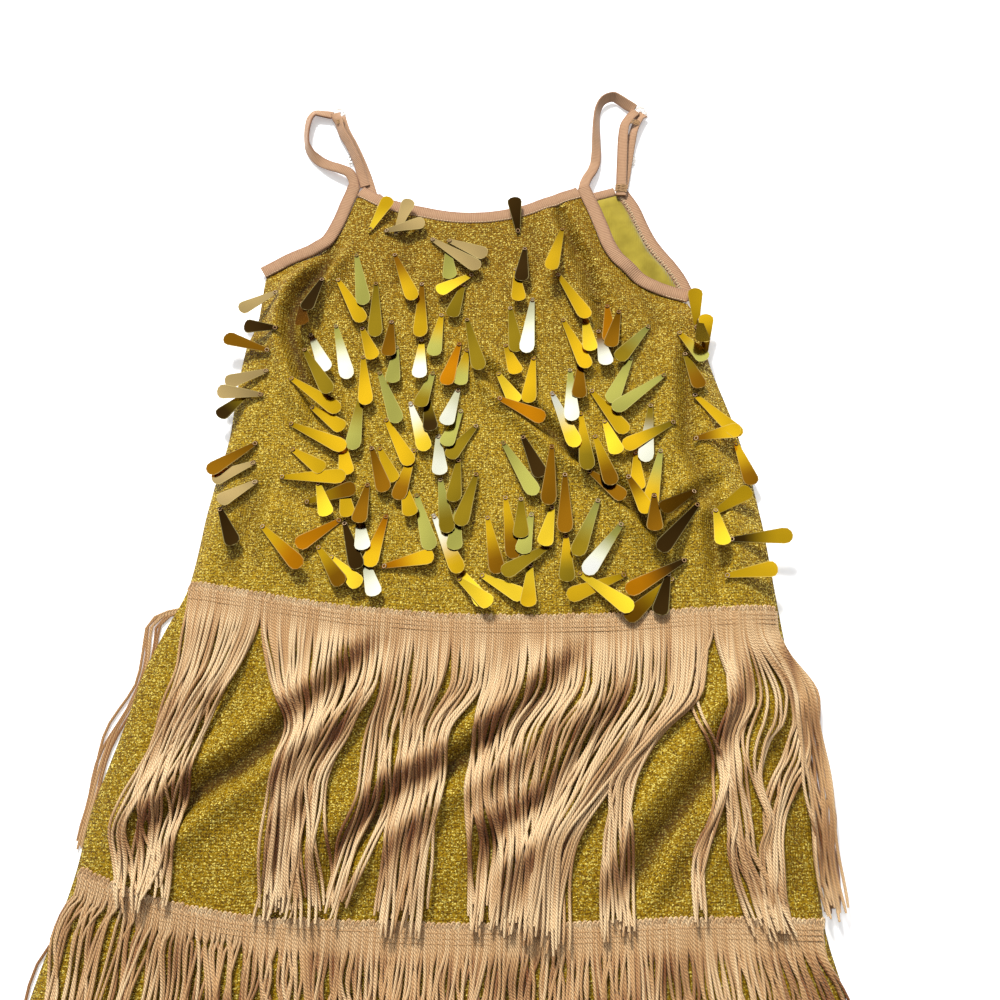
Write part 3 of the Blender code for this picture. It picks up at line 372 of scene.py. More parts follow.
SEQUINS = table(
    Sequin, (270, 299, 239, 310, "T"), (260, 332, 244, 326, "D"), (270, 351, 224, 337, "B"),
    (259, 374, 225, 383, "T"), (264, 395, 217, 391, "T"), (238, 405, 218, 417, "VD"),
    (258, 442, 207, 472, "B"), (235, 471, 212, 480, "T"), (238, 493, 218, 502, "T"),
    (222, 514, 234, 545, "D"), (320, 284, 305, 310, "D"), (303, 313, 302, 325, "O"),
    (310, 333, 327, 371, "W"), (293, 331, 330, 393, "V"), (335, 322, 348, 379, "LW"),
    (337, 278, 363, 322, "G"), (356, 252, 364, 305, "L"), (376, 278, 375, 337, "V"),
    (394, 253, 414, 300, "BG"), (422, 281, 420, 337, "BG"), (449, 263, 450, 279, "L"),
    (474, 274, 437, 292, "Y"), (459, 298, 451, 317, "V"), (460, 291, 480, 370, "V"),
    (362, 328, 374, 359, "G"), (396, 354, 392, 383, "L"), (392, 320, 388, 356, "B"),
    (422, 338, 419, 378, "YW"), (442, 313, 433, 356, "GL"), (460, 342, 445, 385, "O"),
    (463, 370, 459, 385, "GL"), (459, 388, 445, 425, "W"), (431, 379, 419, 407, "LV"),
    (428, 405, 431, 431, "VD"), (410, 402, 426, 451, "WY"), (379, 371, 398, 423, "L"),
    (363, 355, 366, 405, "G"), (366, 361, 352, 450, "VL"), (289, 377, 340, 411, "G"),
    (310, 406, 344, 429, "G"), (287, 422, 346, 448, "G"), (296, 452, 324, 470, "G"),
    (344, 451, 347, 475, "G"), (279, 477, 346, 476, "G"), (304, 503, 356, 487, "GB"),
    (324, 502, 327, 516, "Y"), (346, 500, 348, 517, "G"), (366, 493, 358, 523, "B"),
    (342, 519, 296, 546, "O"), (261, 525, 301, 567, "GO"), (317, 545, 342, 585, "GB"),
    (333, 559, 360, 586, "Y"), (344, 521, 358, 569, "D"), (362, 537, 363, 550, "W"),
    (387, 514, 368, 567, "OG"), (368, 569, 375, 596, "W"), (381, 567, 434, 555, "OG"),
    (371, 446, 385, 492, "B"), (385, 418, 411, 465, "G"), (388, 468, 394, 482, "G"),
    (415, 448, 397, 500, "GB"), (407, 497, 411, 516, "G"), (416, 493, 431, 550, "L"),
    (433, 514, 460, 573, "WG"), (438, 434, 440, 475, "W"), (453, 429, 445, 446, "L"),
    (478, 424, 448, 458, "V"), (459, 458, 453, 502, "V"), (440, 477, 448, 533, "LV"),
    (477, 472, 459, 526, "V"), (456, 528, 454, 550, "L"), (463, 574, 485, 605, "Y"),
    (525, 248, 521, 281, "D"), (517, 281, 519, 301, "G"), (510, 306, 517, 352, "V"),
    (533, 296, 526, 353, "W"), (565, 222, 550, 270, "G"), (557, 273, 588, 318, "G"),
    (562, 318, 588, 368, "G"), (585, 319, 591, 351, "Y"), (607, 304, 610, 342, "O"),
    (619, 311, 610, 347, "B"), (599, 334, 607, 365, "BW"), (650, 325, 617, 360, "LV"),
    (632, 356, 610, 403, "L"), (667, 373, 613, 410, "L"), (507, 350, 517, 374, "G"),
    (534, 357, 528, 403, "G"), (502, 382, 517, 403, "Y"), (497, 398, 545, 419, "O"),
    (549, 388, 577, 447, "WY"), (570, 368, 572, 421, "LW"), (580, 368, 579, 398, "B"),
    (580, 408, 588, 470, "GV"), (590, 389, 627, 433, "G"), (607, 429, 618, 454, "Y"),
    (676, 421, 623, 447, "VG"), (651, 403, 645, 462, "VW"), (594, 435, 613, 485, "GB"),
    (594, 475, 625, 498, "B"), (636, 454, 638, 490, "G"), (661, 449, 649, 508, "LG"),
    (631, 485, 649, 513, "BG"), (696, 491, 661, 510, "B"), (707, 495, 659, 551, "D"),
    (654, 503, 655, 531, "B"), (502, 441, 536, 495, "L"), (522, 435, 542, 477, "D"),
    (552, 444, 548, 505, "B"), (565, 472, 565, 533, "B"), (599, 498, 576, 556, "LV"),
    (623, 522, 585, 574, "LW"), (553, 505, 544, 546, "Y"), (566, 533, 567, 582, "GV"),
    (505, 495, 514, 559, "GB"), (487, 515, 498, 574, "GB"), (521, 498, 521, 538, "V"),
    (530, 521, 522, 554, "L"), (553, 544, 502, 574, "V"), (479, 574, 524, 597, "Y"),
    (530, 574, 528, 607, "YG"), (462, 582, 491, 605, "Y"), (627, 574, 567, 597, "G"),
    (577, 572, 633, 610, "Y"), (687, 559, 626, 592, "DO"), (674, 577, 626, 620, "GB"),
    (664, 592, 659, 615, "D"), (372, 228, 390, 197, "YG"), (402, 222, 410, 199, "T"),
    (393, 231, 425, 222, "T"), (447, 240, 487, 255, "T"), (430, 238, 480, 268, "T"),
    (516, 216, 514, 197, "D"), (696, 324, 695, 288, "G"), (705, 350, 706, 314, "BG"),
    (699, 327, 703, 342, "G"), (686, 343, 706, 360, "GL"), (684, 352, 701, 388, "VB"),
    (687, 390, 741, 436, "G"), (692, 441, 741, 429, "BG"), (735, 441, 753, 485, "GB"),
    (714, 514, 751, 489, "G"), (715, 514, 724, 545, "Y"), (728, 540, 793, 535, "DG"),
    (723, 577, 778, 568, "G"),
)
SEQUIN_LONG = 32.5
SEQUIN_WIDE = 8.2

# The photograph's camera

CAMERA_PLACE = (40.71, 106.56, 456.47)
CAMERA_TURN = (19.742, 2.065, 1.460)
FOCAL_PIXELS = 950.0
IMAGE_PIXELS = 1000.0
SENSOR = 36.0


def smooth_value(xs: Sequence[float] | Array, ys: Sequence[float] | Array, x: float | Array) -> Array:
    """Reads a smooth curve through points that never overshoots them.

    Args:
        xs: Places of the points, rising.
        ys: Values at those places.
        x: Where the curve is read.

    Returns:
        The curve's values at x.
    """
    xs, ys, x = (np.asarray(values, float) for values in (xs, ys, x))
    step = np.diff(xs)
    slope = np.diff(ys) / step
    tangent = np.zeros(len(xs))
    before, after = slope[:-1], slope[1:]
    turning = before * after <= 0
    near, far = 2 * step[1:] + step[:-1], step[1:] + 2 * step[:-1]
    mean = (near + far) / (near / np.where(turning, 1.0, before) + far / np.where(turning, 1.0, after))
    tangent[1:-1] = np.where(turning, 0.0, mean)
    tangent[0], tangent[-1] = slope[0], slope[-1]
    k = np.clip(np.searchsorted(xs, x) - 1, 0, len(step) - 1)
    t = np.clip((x - xs[k]) / step[k], 0.0, 1.0)
    rise = ys[k + 1] - ys[k]
    bend = t * (1 - t) * ((1 - t) * (tangent[k] * step[k] - rise) + t * (rise - tangent[k + 1] * step[k]))
    return ys[k] + rise * t + bend


def smooth_step(low: float, high: float, x: float | Array) -> Array:
    """Rises smoothly from 0 at low to 1 at high."""
    t = np.clip((np.asarray(x, float) - low) / (high - low), 0.0, 1.0)
    return t * t * (3 - 2 * t)


def edge_at(armhole: Sequence[Point], side: Sequence[Point], v: float | Array) -> Array:
    """How far out the cut edge lies at v, along the armhole and then the side seam."""
    points = tuple(armhole) + tuple(side[1:])
    return smooth_value([p.v for p in points], [p.u for p in points], v)


def reach_of(line: Array) -> Array:
    """How far along a line each of its points lies."""
    return np.concatenate([[0.0], np.cumsum(np.linalg.norm(np.diff(line, axis=0), axis=1))])


def mesh_of(bm: bmesh.types.BMesh, name: str) -> Mesh:
    """Turns a finished bmesh into a mesh and frees it.

    Args:
        bm: The finished bmesh.
        name: The mesh's name.

    Returns:
        The mesh.
    """
    mesh = bpy.data.meshes.new(name)
    bm.to_mesh(mesh)
    bm.free()
    return mesh


def along_path(path: Iterable[Sequence[float]], u: Array, v: Array) -> tuple[Array, Array]:
    """Measures points against a bent line.

    Args:
        path: The line's own points.
        u: Places across.
        v: Places down.

    Returns:
        The distance of each point from the line, and the share of its length reached there.
    """
    line = np.asarray(list(path), float)
    lengths = np.linalg.norm(np.diff(line, axis=0), axis=1)
    reached = np.concatenate([[0.0], np.cumsum(lengths)])
    best = np.full(np.shape(u), np.inf)
    share = np.zeros(np.shape(u))
    for k, (a, b) in enumerate(zip(line, line[1:])):
        across = b - a
        t = np.clip(((u - a[0]) * across[0] + (v - a[1]) * across[1]) / lengths[k] ** 2, 0.0, 1.0)
        away = np.hypot(u - a[0] - t * across[0], v - a[1] - t * across[1])
        closer = away < best
        best = np.where(closer, away, best)
        share = np.where(closer, (reached[k] + t * lengths[k]) / reached[-1], share)
    return best, share


def smooth_line(points: Sequence[Sequence[float]], pieces: int) -> Array:
    """Evenly spaced points on a smooth curve.

    Args:
        points: Rows of numbers that the curve goes through.
        pieces: How many stretches it is cut into.

    Returns:
        An array with pieces + 1 rows.
    """
    rows = np.asarray(points, float)
    reached = reach_of(rows[:, :2])
    at = np.linspace(0.0, reached[-1], pieces + 1)
    return np.stack([smooth_value(reached, rows[:, k], at) for k in range(rows.shape[1])], axis=1)


def offset_line(edge: Array, outward: int, away: float) -> Array:
    """Moves a bent line sideways, parallel to itself.

    Args:
        edge: The line's points.
        outward: 1 for its left, -1 for its right.
        away: How far.

    Returns:
        The moved points.
    """
    along = np.diff(edge, axis=0)
    along /= np.linalg.norm(along, axis=1)[:, None]
    normal = np.stack([along[:, 1], -along[:, 0]], axis=1) * outward
    before = np.vstack([normal[:1], normal])
    after = np.vstack([normal, normal[-1:]])
    mitre = (before + after) / (1 + np.sum(before * after, axis=1))[:, None]
    return edge + mitre * away


@dataclass
class Bench:
    """Where the dress stands in the part's frame."""

    shift_x: float = 0.0
    shift_y: float = 0.0

    def find_place(self) -> None:
        """Reads the dress's place from the solid of its front."""
        low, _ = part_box("front_panel")
        self.shift_x = low[0] / MILLIMETRE - HEM_CORNER_U
        self.shift_y = low[1] / MILLIMETRE + HEM_LOWEST_V

    def world(self, points: Array) -> Array:
        """Turns rows of (u, v, z) in millimetres into metres in the part's frame.

        Args:
            points: The rows.

        Returns:
            The same points in the frame.
        """
        points = np.asarray(points, float)
        return np.stack(
            [points[..., 0] + self.shift_x, -points[..., 1] + self.shift_y, points[..., 2]], axis=-1
        ) * MILLIMETRE

    def place(self, name: str, mesh: Mesh, finish: Material, slot: str) -> Piece:
        """Puts a finished mesh on the bench as a piece of the dress.

        Args:
            name: The piece's name.
            mesh: Its mesh, in metres.
            finish: Its material.
            slot: The record's material slot; not used.

        Returns:
            The new object, which rides on the dress.
        """
        mesh.name = name
        mesh.materials.clear()
        mesh.materials.append(finish)
        mesh.shade_smooth()
        mesh.set_sharp_from_angle(angle=SHARP_ANGLE)
        piece = bpy.data.objects.new(name, mesh)
        bpy.context.scene.collection.objects.link(piece)
        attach(piece, "root")
        return piece


@dataclass
class Lay:
    """How the front lies: its height above the table, worked out once on a fine grid of points."""

    step: float = 1.25
    left: float = -215.0
    right: float = 215.0
    top: float = -262.0
    bottom: float = 305.0
    heights: Array = field(default_factory=lambda: np.zeros((1, 1)))
    cover: Array = field(default_factory=lambda: np.zeros((1, 1)))

    def lift_at(self, v: float | Array) -> Array:
        """How far the back's underside stands off the table over the hidden fringe headers."""
        return SKIRT_LIFT * smooth_step(LIFT_FROM, LIFT_TO, v)

    def relief(self, folds: Sequence[Fold], u: Array, v: Array) -> Array:
        """Sum of the folds, each a trough with raised lips that fades towards its ends.

        Args:
            folds: The folds.
            u: Places across.
            v: Places down.

        Returns:
            Their height at each place.
        """
        total = np.zeros(np.shape(u))
        for fold in folds:
            away, share = along_path(fold.path, u, v)
            x = away / fold.width
            fade = smooth_step(0.0, 0.22, share + 0.06) * smooth_step(0.0, 0.22, 1.06 - share)
            lips = x * x * np.exp(1 - x * x / 2) / 2
            total += fade * (fold.lip * lips - fold.depth * np.exp(-np.abs(x) ** 1.4))
        return total

    def hollow(self, folds: Sequence[Fold], u: Array, v: Array) -> Array:
        """How much painted shade each point gets in the troughs, from 0 to 1: most at the bottom of a deep
        trough.

        Args:
            folds: The folds.
            u: Places across.
            v: Places down.

        Returns:
            The painted shade at each place.
        """
        deepest = np.zeros(np.shape(u))
        for fold in folds:
            away, share = along_path(fold.path, u, v)
            fade = smooth_step(0.0, 0.2, share) * smooth_step(0.0, 0.2, 1 - share)
            pit = np.clip(fold.depth / 6.0, 0.0, 1.0) * fade * np.exp(-((away / (0.62 * fold.width)) ** 2))
            deepest = np.maximum(deepest, pit)
        return deepest

    def ripple(self, u: Array, v: Array) -> Array:
        """Slight waves of the knit between the folds, longer down the dress than across it.

        Args:
            u: Places across.
            v: Places down.

        Returns:
            Their height at each place.
        """
        waves = 0.32 * np.sin(u / 17.0 + 1.3 * np.sin(v / 43.0)) * np.sin(v / 61.0 + 0.7)
        waves += 0.22 * np.sin(u / 9.5 - v / 26.0 + 2.0 * np.sin(u / 37.0))
        waves += 0.12 * np.sin(u / 6.2 + v / 13.0)
        return waves

    def front_top(self, u: Array, v: Array) -> Array:
        """Height of the front's outer side at points of the front.

        Args:
            u: Places across.
            v: Places down.

        Returns:
            The height at each place.
        """
        near = []
        for armhole, side in zip(FRONT_ARMHOLES, (LEFT_SIDE, RIGHT_SIDE)):
            down = np.arange(armhole[0].v, side[-1].v, 3.0)
            line = np.stack([edge_at(armhole, side, down), down], axis=1)
            near.append(along_path(line, u, v)[0])
        roll = 1 - (1 - np.clip(np.minimum(*near) / SIDE_ROLL, 0.0, 1.0)) ** 2
        rest = self.lift_at(v + FRONT_LEAD) + 2 * CLOTH + SEAM_GAP
        folds = PUFF + self.relief(FRONT_FOLDS, u, v) + self.ripple(u, v)
        return np.maximum(rest + folds * roll + self.relief(OPEN_EDGES, u, v), rest)

    def survey(self) -> None:
        """Works out the heights of the front, and where it covers the table."""
        u, v = np.meshgrid(
            np.arange(self.left, self.right, self.step), np.arange(self.top, self.bottom, self.step)
        )
        share_left = edge_at(FRONT_ARMHOLE_LEFT, LEFT_SIDE, v)
        share_right = edge_at(FRONT_ARMHOLE_RIGHT, RIGHT_SIDE, v)
        share = np.clip((u - share_left) / (share_right - share_left), 0.0, 1.0)
        low = smooth_value(STATIONS, FRONT_NECKLINE, share)
        high = smooth_value(STATIONS, HEM, share)
        self.cover = ((u >= share_left) & (u <= share_right) & (v >= low) & (v <= high)).astype(float)
        self.heights = self.front_top(u, v)

    def _read(self, grid: Array, u: Array, v: Array) -> Array:
        """Reads a surveyed grid between its points.

        Args:
            grid: The grid.
            u: Places across.
            v: Places down.

        Returns:
            Its values there.
        """
        x = np.clip((np.asarray(u, float) - self.left) / self.step, 0, grid.shape[1] - 1.001)
        y = np.clip((np.asarray(v, float) - self.top) / self.step, 0, grid.shape[0] - 1.001)
        i, j = x.astype(int), y.astype(int)
        a, b = x - i, y - j
        upper = grid[j, i] * (1 - a) + grid[j, i + 1] * a
        lower = grid[j + 1, i] * (1 - a) + grid[j + 1, i + 1] * a
        return upper * (1 - b) + lower * b

    def covered(self, u: Array, v: Array) -> Array:
        """1 over the front and 0 beside it."""
        return self._read(self.cover, u, v)

    def on_front(self, u: Array, v: Array) -> Array:
        """Height of the front's outer side, carried on level past its edges."""
        return self._read(self.heights, u, v)

    def on_top(self, u: Array, v: Array, off_cloth: float) -> Array:
        """Height of the front where it lies, and of what lies on the table beyond it."""
        covered = self.covered(u, v)
        return covered * self._read(self.heights, u, v) + (1 - covered) * off_cloth


@dataclass
class PhotoView:
    """The photograph's camera, which also tells where a pixel falls on the dress."""

    bench: Bench
    lay: Lay

    def build(self) -> Piece:
        """Adds the camera to the scene and makes it the one that renders.

        Returns:
            The camera.
        """
        data = bpy.data.cameras.new("photo_view")
        data.sensor_width = SENSOR
        data.lens = FOCAL_PIXELS / IMAGE_PIXELS * SENSOR
        data.clip_start = 0.01
        data.clip_end = 20.0
        camera = bpy.data.objects.new("photo_view", data)
        u, v, z = CAMERA_PLACE
        camera.location = self.bench.world(np.array([u, v, z]))
        camera.rotation_euler = Euler([math.radians(a) for a in CAMERA_TURN], "XYZ")
        bpy.context.scene.collection.objects.link(camera)
        bpy.context.scene.camera = camera
        return camera

    def ray(self, x: float, y: float) -> tuple[Array, Array]:
        """Where the ray of a pixel starts and which way it runs, in (u, v, z).

        Args:
            x: Across the picture.
            y: Down the picture.

        Returns:
            Its start and its direction.
        """
        turn = Euler([math.radians(a) for a in CAMERA_TURN], "XYZ").to_matrix()
        half = IMAGE_PIXELS / 2
        way = turn @ Vector(((x - half) / FOCAL_PIXELS, -(y - half) / FOCAL_PIXELS, -1.0))
        return np.array(CAMERA_PLACE), np.array([way.x, -way.y, way.z])

    def on_cloth(self, x: float, y: float, above: float) -> Array:
        """Where a pixel falls at a height above the cloth.

        Args:
            x: Across the picture.
            y: Down the picture.
            above: Height over the cloth.

        Returns:
            The place as (u, v, z).
        """
        start, way = self.ray(x, y)
        level = 5.0
        for _ in range(6):
            point = start + way * ((level - start[2]) / way[2])
            level = float(self.lay.on_front(point[0], point[1])) + above
        return start + way * ((level - start[2]) / way[2])


# Shader building


class Wire:
    """An output of a node that can take part in sums."""

    def __init__(self, recipe: Recipe, socket: bpy.types.NodeSocket) -> None:
        """Keeps the socket and the material that it belongs to."""
        self.recipe = recipe
        self.socket = socket

    def _sum(self, operation: str, first: object, second: object) -> Wire:
        """Adds the Math node that works out first and second."""
        return self.recipe.node("ShaderNodeMath", {"operation": operation}, {0: first, 1: second})

    def __add__(self, other: object) -> Wire:
        """Adds."""
        return self._sum("ADD", self, other)

    __radd__ = __add__

    def __sub__(self, other: object) -> Wire:
        """Subtracts."""
        return self._sum("SUBTRACT", self, other)

    def __rsub__(self, other: object) -> Wire:
        """Subtracts, the other way round."""
        return self._sum("SUBTRACT", other, self)

    def __mul__(self, other: object) -> Wire:
        """Multiplies."""
        return self._sum("MULTIPLY", self, other)

    __rmul__ = __mul__

    def __gt__(self, other: object) -> Wire:
        """1 where this is greater, and 0 elsewhere."""
        return self._sum("GREATER_THAN", self, other)

    def __lt__(self, other: object) -> Wire:
        """1 where this is less, and 0 elsewhere."""
        return self._sum("LESS_THAN", self, other)

    def sine(self) -> Wire:
        """The sine, from -1 to 1."""
        return self.recipe.node("ShaderNodeMath", {"operation": "SINE"}, {0: self})


class Recipe:
    """A material under construction."""

    def __init__(self, name: str) -> None:
        """Starts a material of this name."""
        self.material = bpy.data.materials.new(name)
        self.material.use_nodes = True
        self.tree = self.material.node_tree
        self.shader = self.tree.nodes["Principled BSDF"]

    def node(
        self, kind: str, settings: dict[str, object], inputs: dict[int | str, object], output: int | str = 0
    ) -> Wire:
        """Adds a node.

        Args:
            kind: The node's type.
            settings: Its own settings, or a ramp's stops under "stops".
            inputs: Values or wires for its sockets, by number or name.
            output: Which of its outputs is wanted.

        Returns:
            The wire from that output.
        """
        made = self.tree.nodes.new(kind)
        for key, value in settings.items():
            if key == "stops":
                ramp = made.color_ramp
                while len(ramp.elements) < len(value):
                    ramp.elements.new(1.0)
                for element, (place, colour) in zip(ramp.elements, value):
                    element.position = place
                    element.color = colour
            else:
                setattr(made, key, value)
        for key, value in inputs.items():
            self.feed(made.inputs[key], value)
        return Wire(self, made.outputs[output])

    def feed(self, socket: bpy.types.NodeSocket, value: object) -> None:
        """Gives a socket a wire or a constant.

        Args:
            socket: An input of a node.
            value: A wire or a constant.
        """
        if isinstance(value, Wire):
            self.tree.links.new(value.socket, socket)
        else:
            socket.default_value = value

    def mix(self, factor: object, first: object, second: object) -> Wire:
        """Mixes two colours."""
        return self.node("ShaderNodeMix", {"data_type": "RGBA"}, {0: factor, 6: first, 7: second}, 2)

    def ramp(self, value: Wire, *stops: tuple[float, tuple[float, float, float, float]]) -> Wire:
        """Turns a value into a colour by stops."""
        return self.node("ShaderNodeValToRGB", {"stops": stops}, {0: value})

    def object_place(self) -> Wire:
        """Object coordinates."""
        return self.node("ShaderNodeTexCoord", {}, {}, "Object")

    def own_map(self) -> Wire:
        """The piece's own map: across in u, along in v, both in millimetres."""
        return self.node("ShaderNodeUVMap", {"uv_map": "run"}, {})

    def attribute(self, name: str, output: str = "Color") -> Wire:
        """A named attribute of the mesh."""
        return self.node("ShaderNodeAttribute", {"attribute_name": name}, {}, output)

    def noise(self, place: Wire, scale: float, detail: float = 3.0) -> Wire:
        """Soft noise from 0 to 1."""
        return self.node("ShaderNodeTexNoise", {}, {"Vector": place, "Scale": scale, "Detail": detail})

    def cells(self, place: Wire, scale: float, output: str = "Color") -> Wire:
        """Small cells, each with a colour of its own."""
        return self.node("ShaderNodeTexVoronoi", {}, {"Vector": place, "Scale": scale}, output)

    def parts(self, value: Wire, output: int) -> Wire:
        """One part of a vector or colour."""
        return self.node("ShaderNodeSeparateXYZ", {}, {0: value}, output)

    def bump(self, height: Wire, strength: float, distance: float, normal: Wire | None = None) -> Wire:
        """Bump from a height.

        Args:
            height: The height.
            strength: Its share.
            distance: Its depth in metres.
            normal: A normal to start from.

        Returns:
            The new normal.
        """
        inputs: dict[int | str, object] = {"Height": height, "Strength": strength, "Distance": distance}
        if normal is not None:
            inputs["Normal"] = normal
        return self.node("ShaderNodeBump", {}, inputs)

    def dress(self, **sockets: object) -> Material:
        """Feeds the shader's sockets, named with underscores for blanks, and gives the material.

        Args:
            sockets: What each socket gets.

        Returns:
            The material.
        """
        for key, value in sockets.items():
            self.feed(self.shader.inputs[key.replace("_", " ")], value)
        return self.material


Colour = tuple[float, float, float, float]


def colour(red: float, green: float, blue: float) -> Colour:
    """A shade given as it looks on a screen, from 0 to 255, as the shader wants it.

    Args:
        red: From 0 to 255.
        green: From 0 to 255.
        blue: From 0 to 255.

    Returns:
        The linear shade.
    """
    def linear(value: float) -> float:
        """One channel."""
        share = value / 255
        return share / 12.92 if share <= 0.04045 else ((share + 0.055) / 1.055) ** 2.4

    return (linear(red), linear(green), linear(blue), 1.0)


@dataclass(frozen=True)
class GlitterKnit:
    """Old gold knit with a fine lurex glitter in it."""

    name: str = "lurex_knit"
    neck: Colour = colour(150, 112, 10)
    ground: Colour = colour(182, 146, 26)
    deep: Colour = colour(80, 52, 4)
    # the lurex's own bright metal, painted as glints as well
    bright: Colour = colour(255, 232, 118)
    skirt: Colour = colour(166, 131, 14)
    # sunk: the colour of the painted shade laid into the fold troughs
    sunk: Colour = colour(58, 32, 8)
    grain: float = 2050.0
    tilt: float = 0.5
    dull_share: float = 0.34
    glint_from: float = 0.79
    wale_rate: float = 5700.0
    row_rate: float = 4200.0

    def build(self) -> Material:
        """Mixes the knit's material.

        Returns:
            The material.
        """
        mix = Recipe(self.name)
        place = mix.object_place()
        down = mix.parts(place, 1)
        rows_of = mix.node("ShaderNodeVectorMath", {"operation": "MULTIPLY"}, {0: place, 1: (0.85, 1.1, 1.0)})
        cell = mix.cells(rows_of, self.grain)
        luck = mix.parts(cell, 0)
        other = mix.parts(cell, 1)
        cloudy = mix.noise(place, 110.0, 4.0)
        # Darker at the neck and lighter over the middle of the bodice, painted light and shade down the dress;
        # a darker gold again on the skirt.
        reach = mix.node("ShaderNodeMapRange", {}, {"Value": down, "From Min": 0.21, "From Max": -0.04})
        ground = mix.ramp(reach, (0.1, self.neck), (0.5, self.ground), (0.84, self.ground), (1.0, self.skirt))
        mottled = mix.mix(cloudy * 0.45, ground, self.deep)
        specked = mix.mix((luck < self.dull_share) * (0.45 + 0.55 * other), mottled, self.deep)
        # Bright specks: the lurex's own bright metal and painted glints.
        glint = luck > self.glint_from
        # Painted shade: the knit darkens towards sunk in the fold troughs, and shows less metal there.
        hollow = mix.attribute("hollow", "Fac")
        shade = mix.mix(glint * (0.35 + 0.65 * other), specked, self.bright)
        shade = mix.mix(hollow * 0.85, shade, self.sunk)
        wales = (mix.parts(place, 0) * self.wale_rate).sine()
        rows = (down * self.row_rate).sine()
        knit = mix.bump(wales * 0.4 + rows * 0.3 + luck * 0.8, 0.5, 0.0004)
        lean = mix.node("ShaderNodeVectorMath", {"operation": "SUBTRACT"}, {0: cell, 1: (0.5, 0.5, 0.5)})
        swing = mix.node("ShaderNodeVectorMath", {"operation": "SCALE"}, {0: lean, "Scale": self.tilt})
        turned = mix.node("ShaderNodeVectorMath", {"operation": "ADD"}, {0: knit, 1: swing})
        normal = mix.node("ShaderNodeVectorMath", {"operation": "NORMALIZE"}, {0: turned})
        return mix.dress(
            Base_Color=shade, Metallic=0.1 + 0.45 * glint * (1 - hollow), Roughness=0.55 - 0.2 * glint,
            Normal=normal, Specular_IOR_Level=0.35,
        )


@dataclass(frozen=True)
class KnitWrongSide:
    """Plain greenish yellow wrong side of the knit."""

    name: str = "knit_wrong_side"
    ground: Colour = colour(166, 148, 48)
    deep: Colour = colour(118, 102, 22)

    def build(self) -> Material:
        """Mixes the material.

        Returns:
            The material.
        """
        mix = Recipe(self.name)
        place = mix.object_place()
        cloudy = mix.noise(place, 90.0, 4.0)
        wales = (mix.parts(place, 0) * 6000.0).sine()
        shade = mix.mix((cloudy - 0.3) * 1.8, self.ground, self.deep)
        knit = mix.bump(wales * 0.3 + cloudy, 0.3, 0.0004)
        return mix.dress(Base_Color=shade, Roughness=0.75, Normal=knit, Sheen_Weight=0.15)


@dataclass(frozen=True)
class TanBinding:
    """Tan elastic binding with fine ribs across it, and painted shade towards its edges and underside."""

    name: str = "ribbed_binding"
    ground: Colour = colour(186, 148, 114)
    # deep: the darker tan of the ribs and mottling, and of the painted shade
    deep: Colour = colour(122, 82, 56)
    rib_pitch: float = 1.05

    def build(self) -> Material:
        """Mixes the material from the piece's own map.

        Returns:
            The material.
        """
        mix = Recipe(self.name)
        run = mix.own_map()
        along = mix.parts(run, 1)
        across = mix.parts(run, 0)
        rib = (along * (2 * math.pi / self.rib_pitch)).sine()
        thread = (across * 14.0).sine()
        cloudy = mix.noise(run, 0.35, 3.0)
        # Painted shade: darker towards the edges and underneath, from the strip's tone.
        edge = mix.node(
            "ShaderNodeMapRange", {"interpolation_type": "SMOOTHSTEP"},
            {"Value": mix.attribute("tone", "Fac"), "From Min": -0.3, "From Max": 0.92,
             "To Min": 0.74, "To Max": 0.0},
        )
        shade = mix.mix(0.32 + 0.16 * rib + 0.35 * (cloudy - 0.5) + edge, self.ground, self.deep)
        relief = mix.bump(rib * 0.5 + thread * 0.18, 0.5, 0.0003)
        return mix.dress(Base_Color=shade, Roughness=0.6, Normal=relief, Sheen_Weight=0.25, Sheen_Roughness=0.4)


@dataclass(frozen=True)
class ChainetteYarn:
    """Silky twisted fringe yarn."""

    name: str = "chainette_yarn"
    # light is the strands' painted highlight; the dark end of the ramp holds their painted shade as well as
    # their darker tones
    light: Colour = colour(240, 208, 160)
    body: Colour = colour(204, 160, 108)
    dark_tone_and_shade: Colour = colour(132, 78, 36)
    deep: Colour = colour(96, 54, 22)
    twist_pitch: float = 1.5

    def build(self) -> Material:
        """Mixes the material from the piece's own map and the tone of each strand, which carries painted light
        and shade.

        Returns:
            The material.
        """
        mix = Recipe(self.name)
        run = mix.own_map()
        turn = mix.parts(run, 0) * (6 * math.pi)
        along = mix.parts(run, 1) * (2 * math.pi / self.twist_pitch)
        tone = mix.attribute("tone", "Fac")
        ply = (along + turn + 23.0 * tone).sine()
        warm = mix.ramp(tone, (0.0, self.dark_tone_and_shade), (0.5, self.body), (1.0, self.light))
        shade = mix.mix(0.22 - 0.24 * ply, warm, self.deep)
        relief = mix.bump(ply, 0.6, 0.00025)
        return mix.dress(
            Base_Color=shade, Roughness=0.4, Normal=relief, Specular_IOR_Level=0.6, Sheen_Weight=0.1
        )


@dataclass(frozen=True)
class SequinFoil:
    """Gold foil of the sequins, toned by each one's colours, which hold painted reflection and painted
    highlight.
    """

    name: str = "sequin_foil"

    def build(self) -> Material:
        """Mixes the material.

        Returns:
            The material.
        """
        mix = Recipe(self.name)
        tone = mix.attribute("tone")
        streak = mix.noise(mix.own_map(), 0.3, 2.0)
        return mix.dress(Base_Color=tone, Metallic=1.0, Roughness=0.11 + 0.08 * streak)


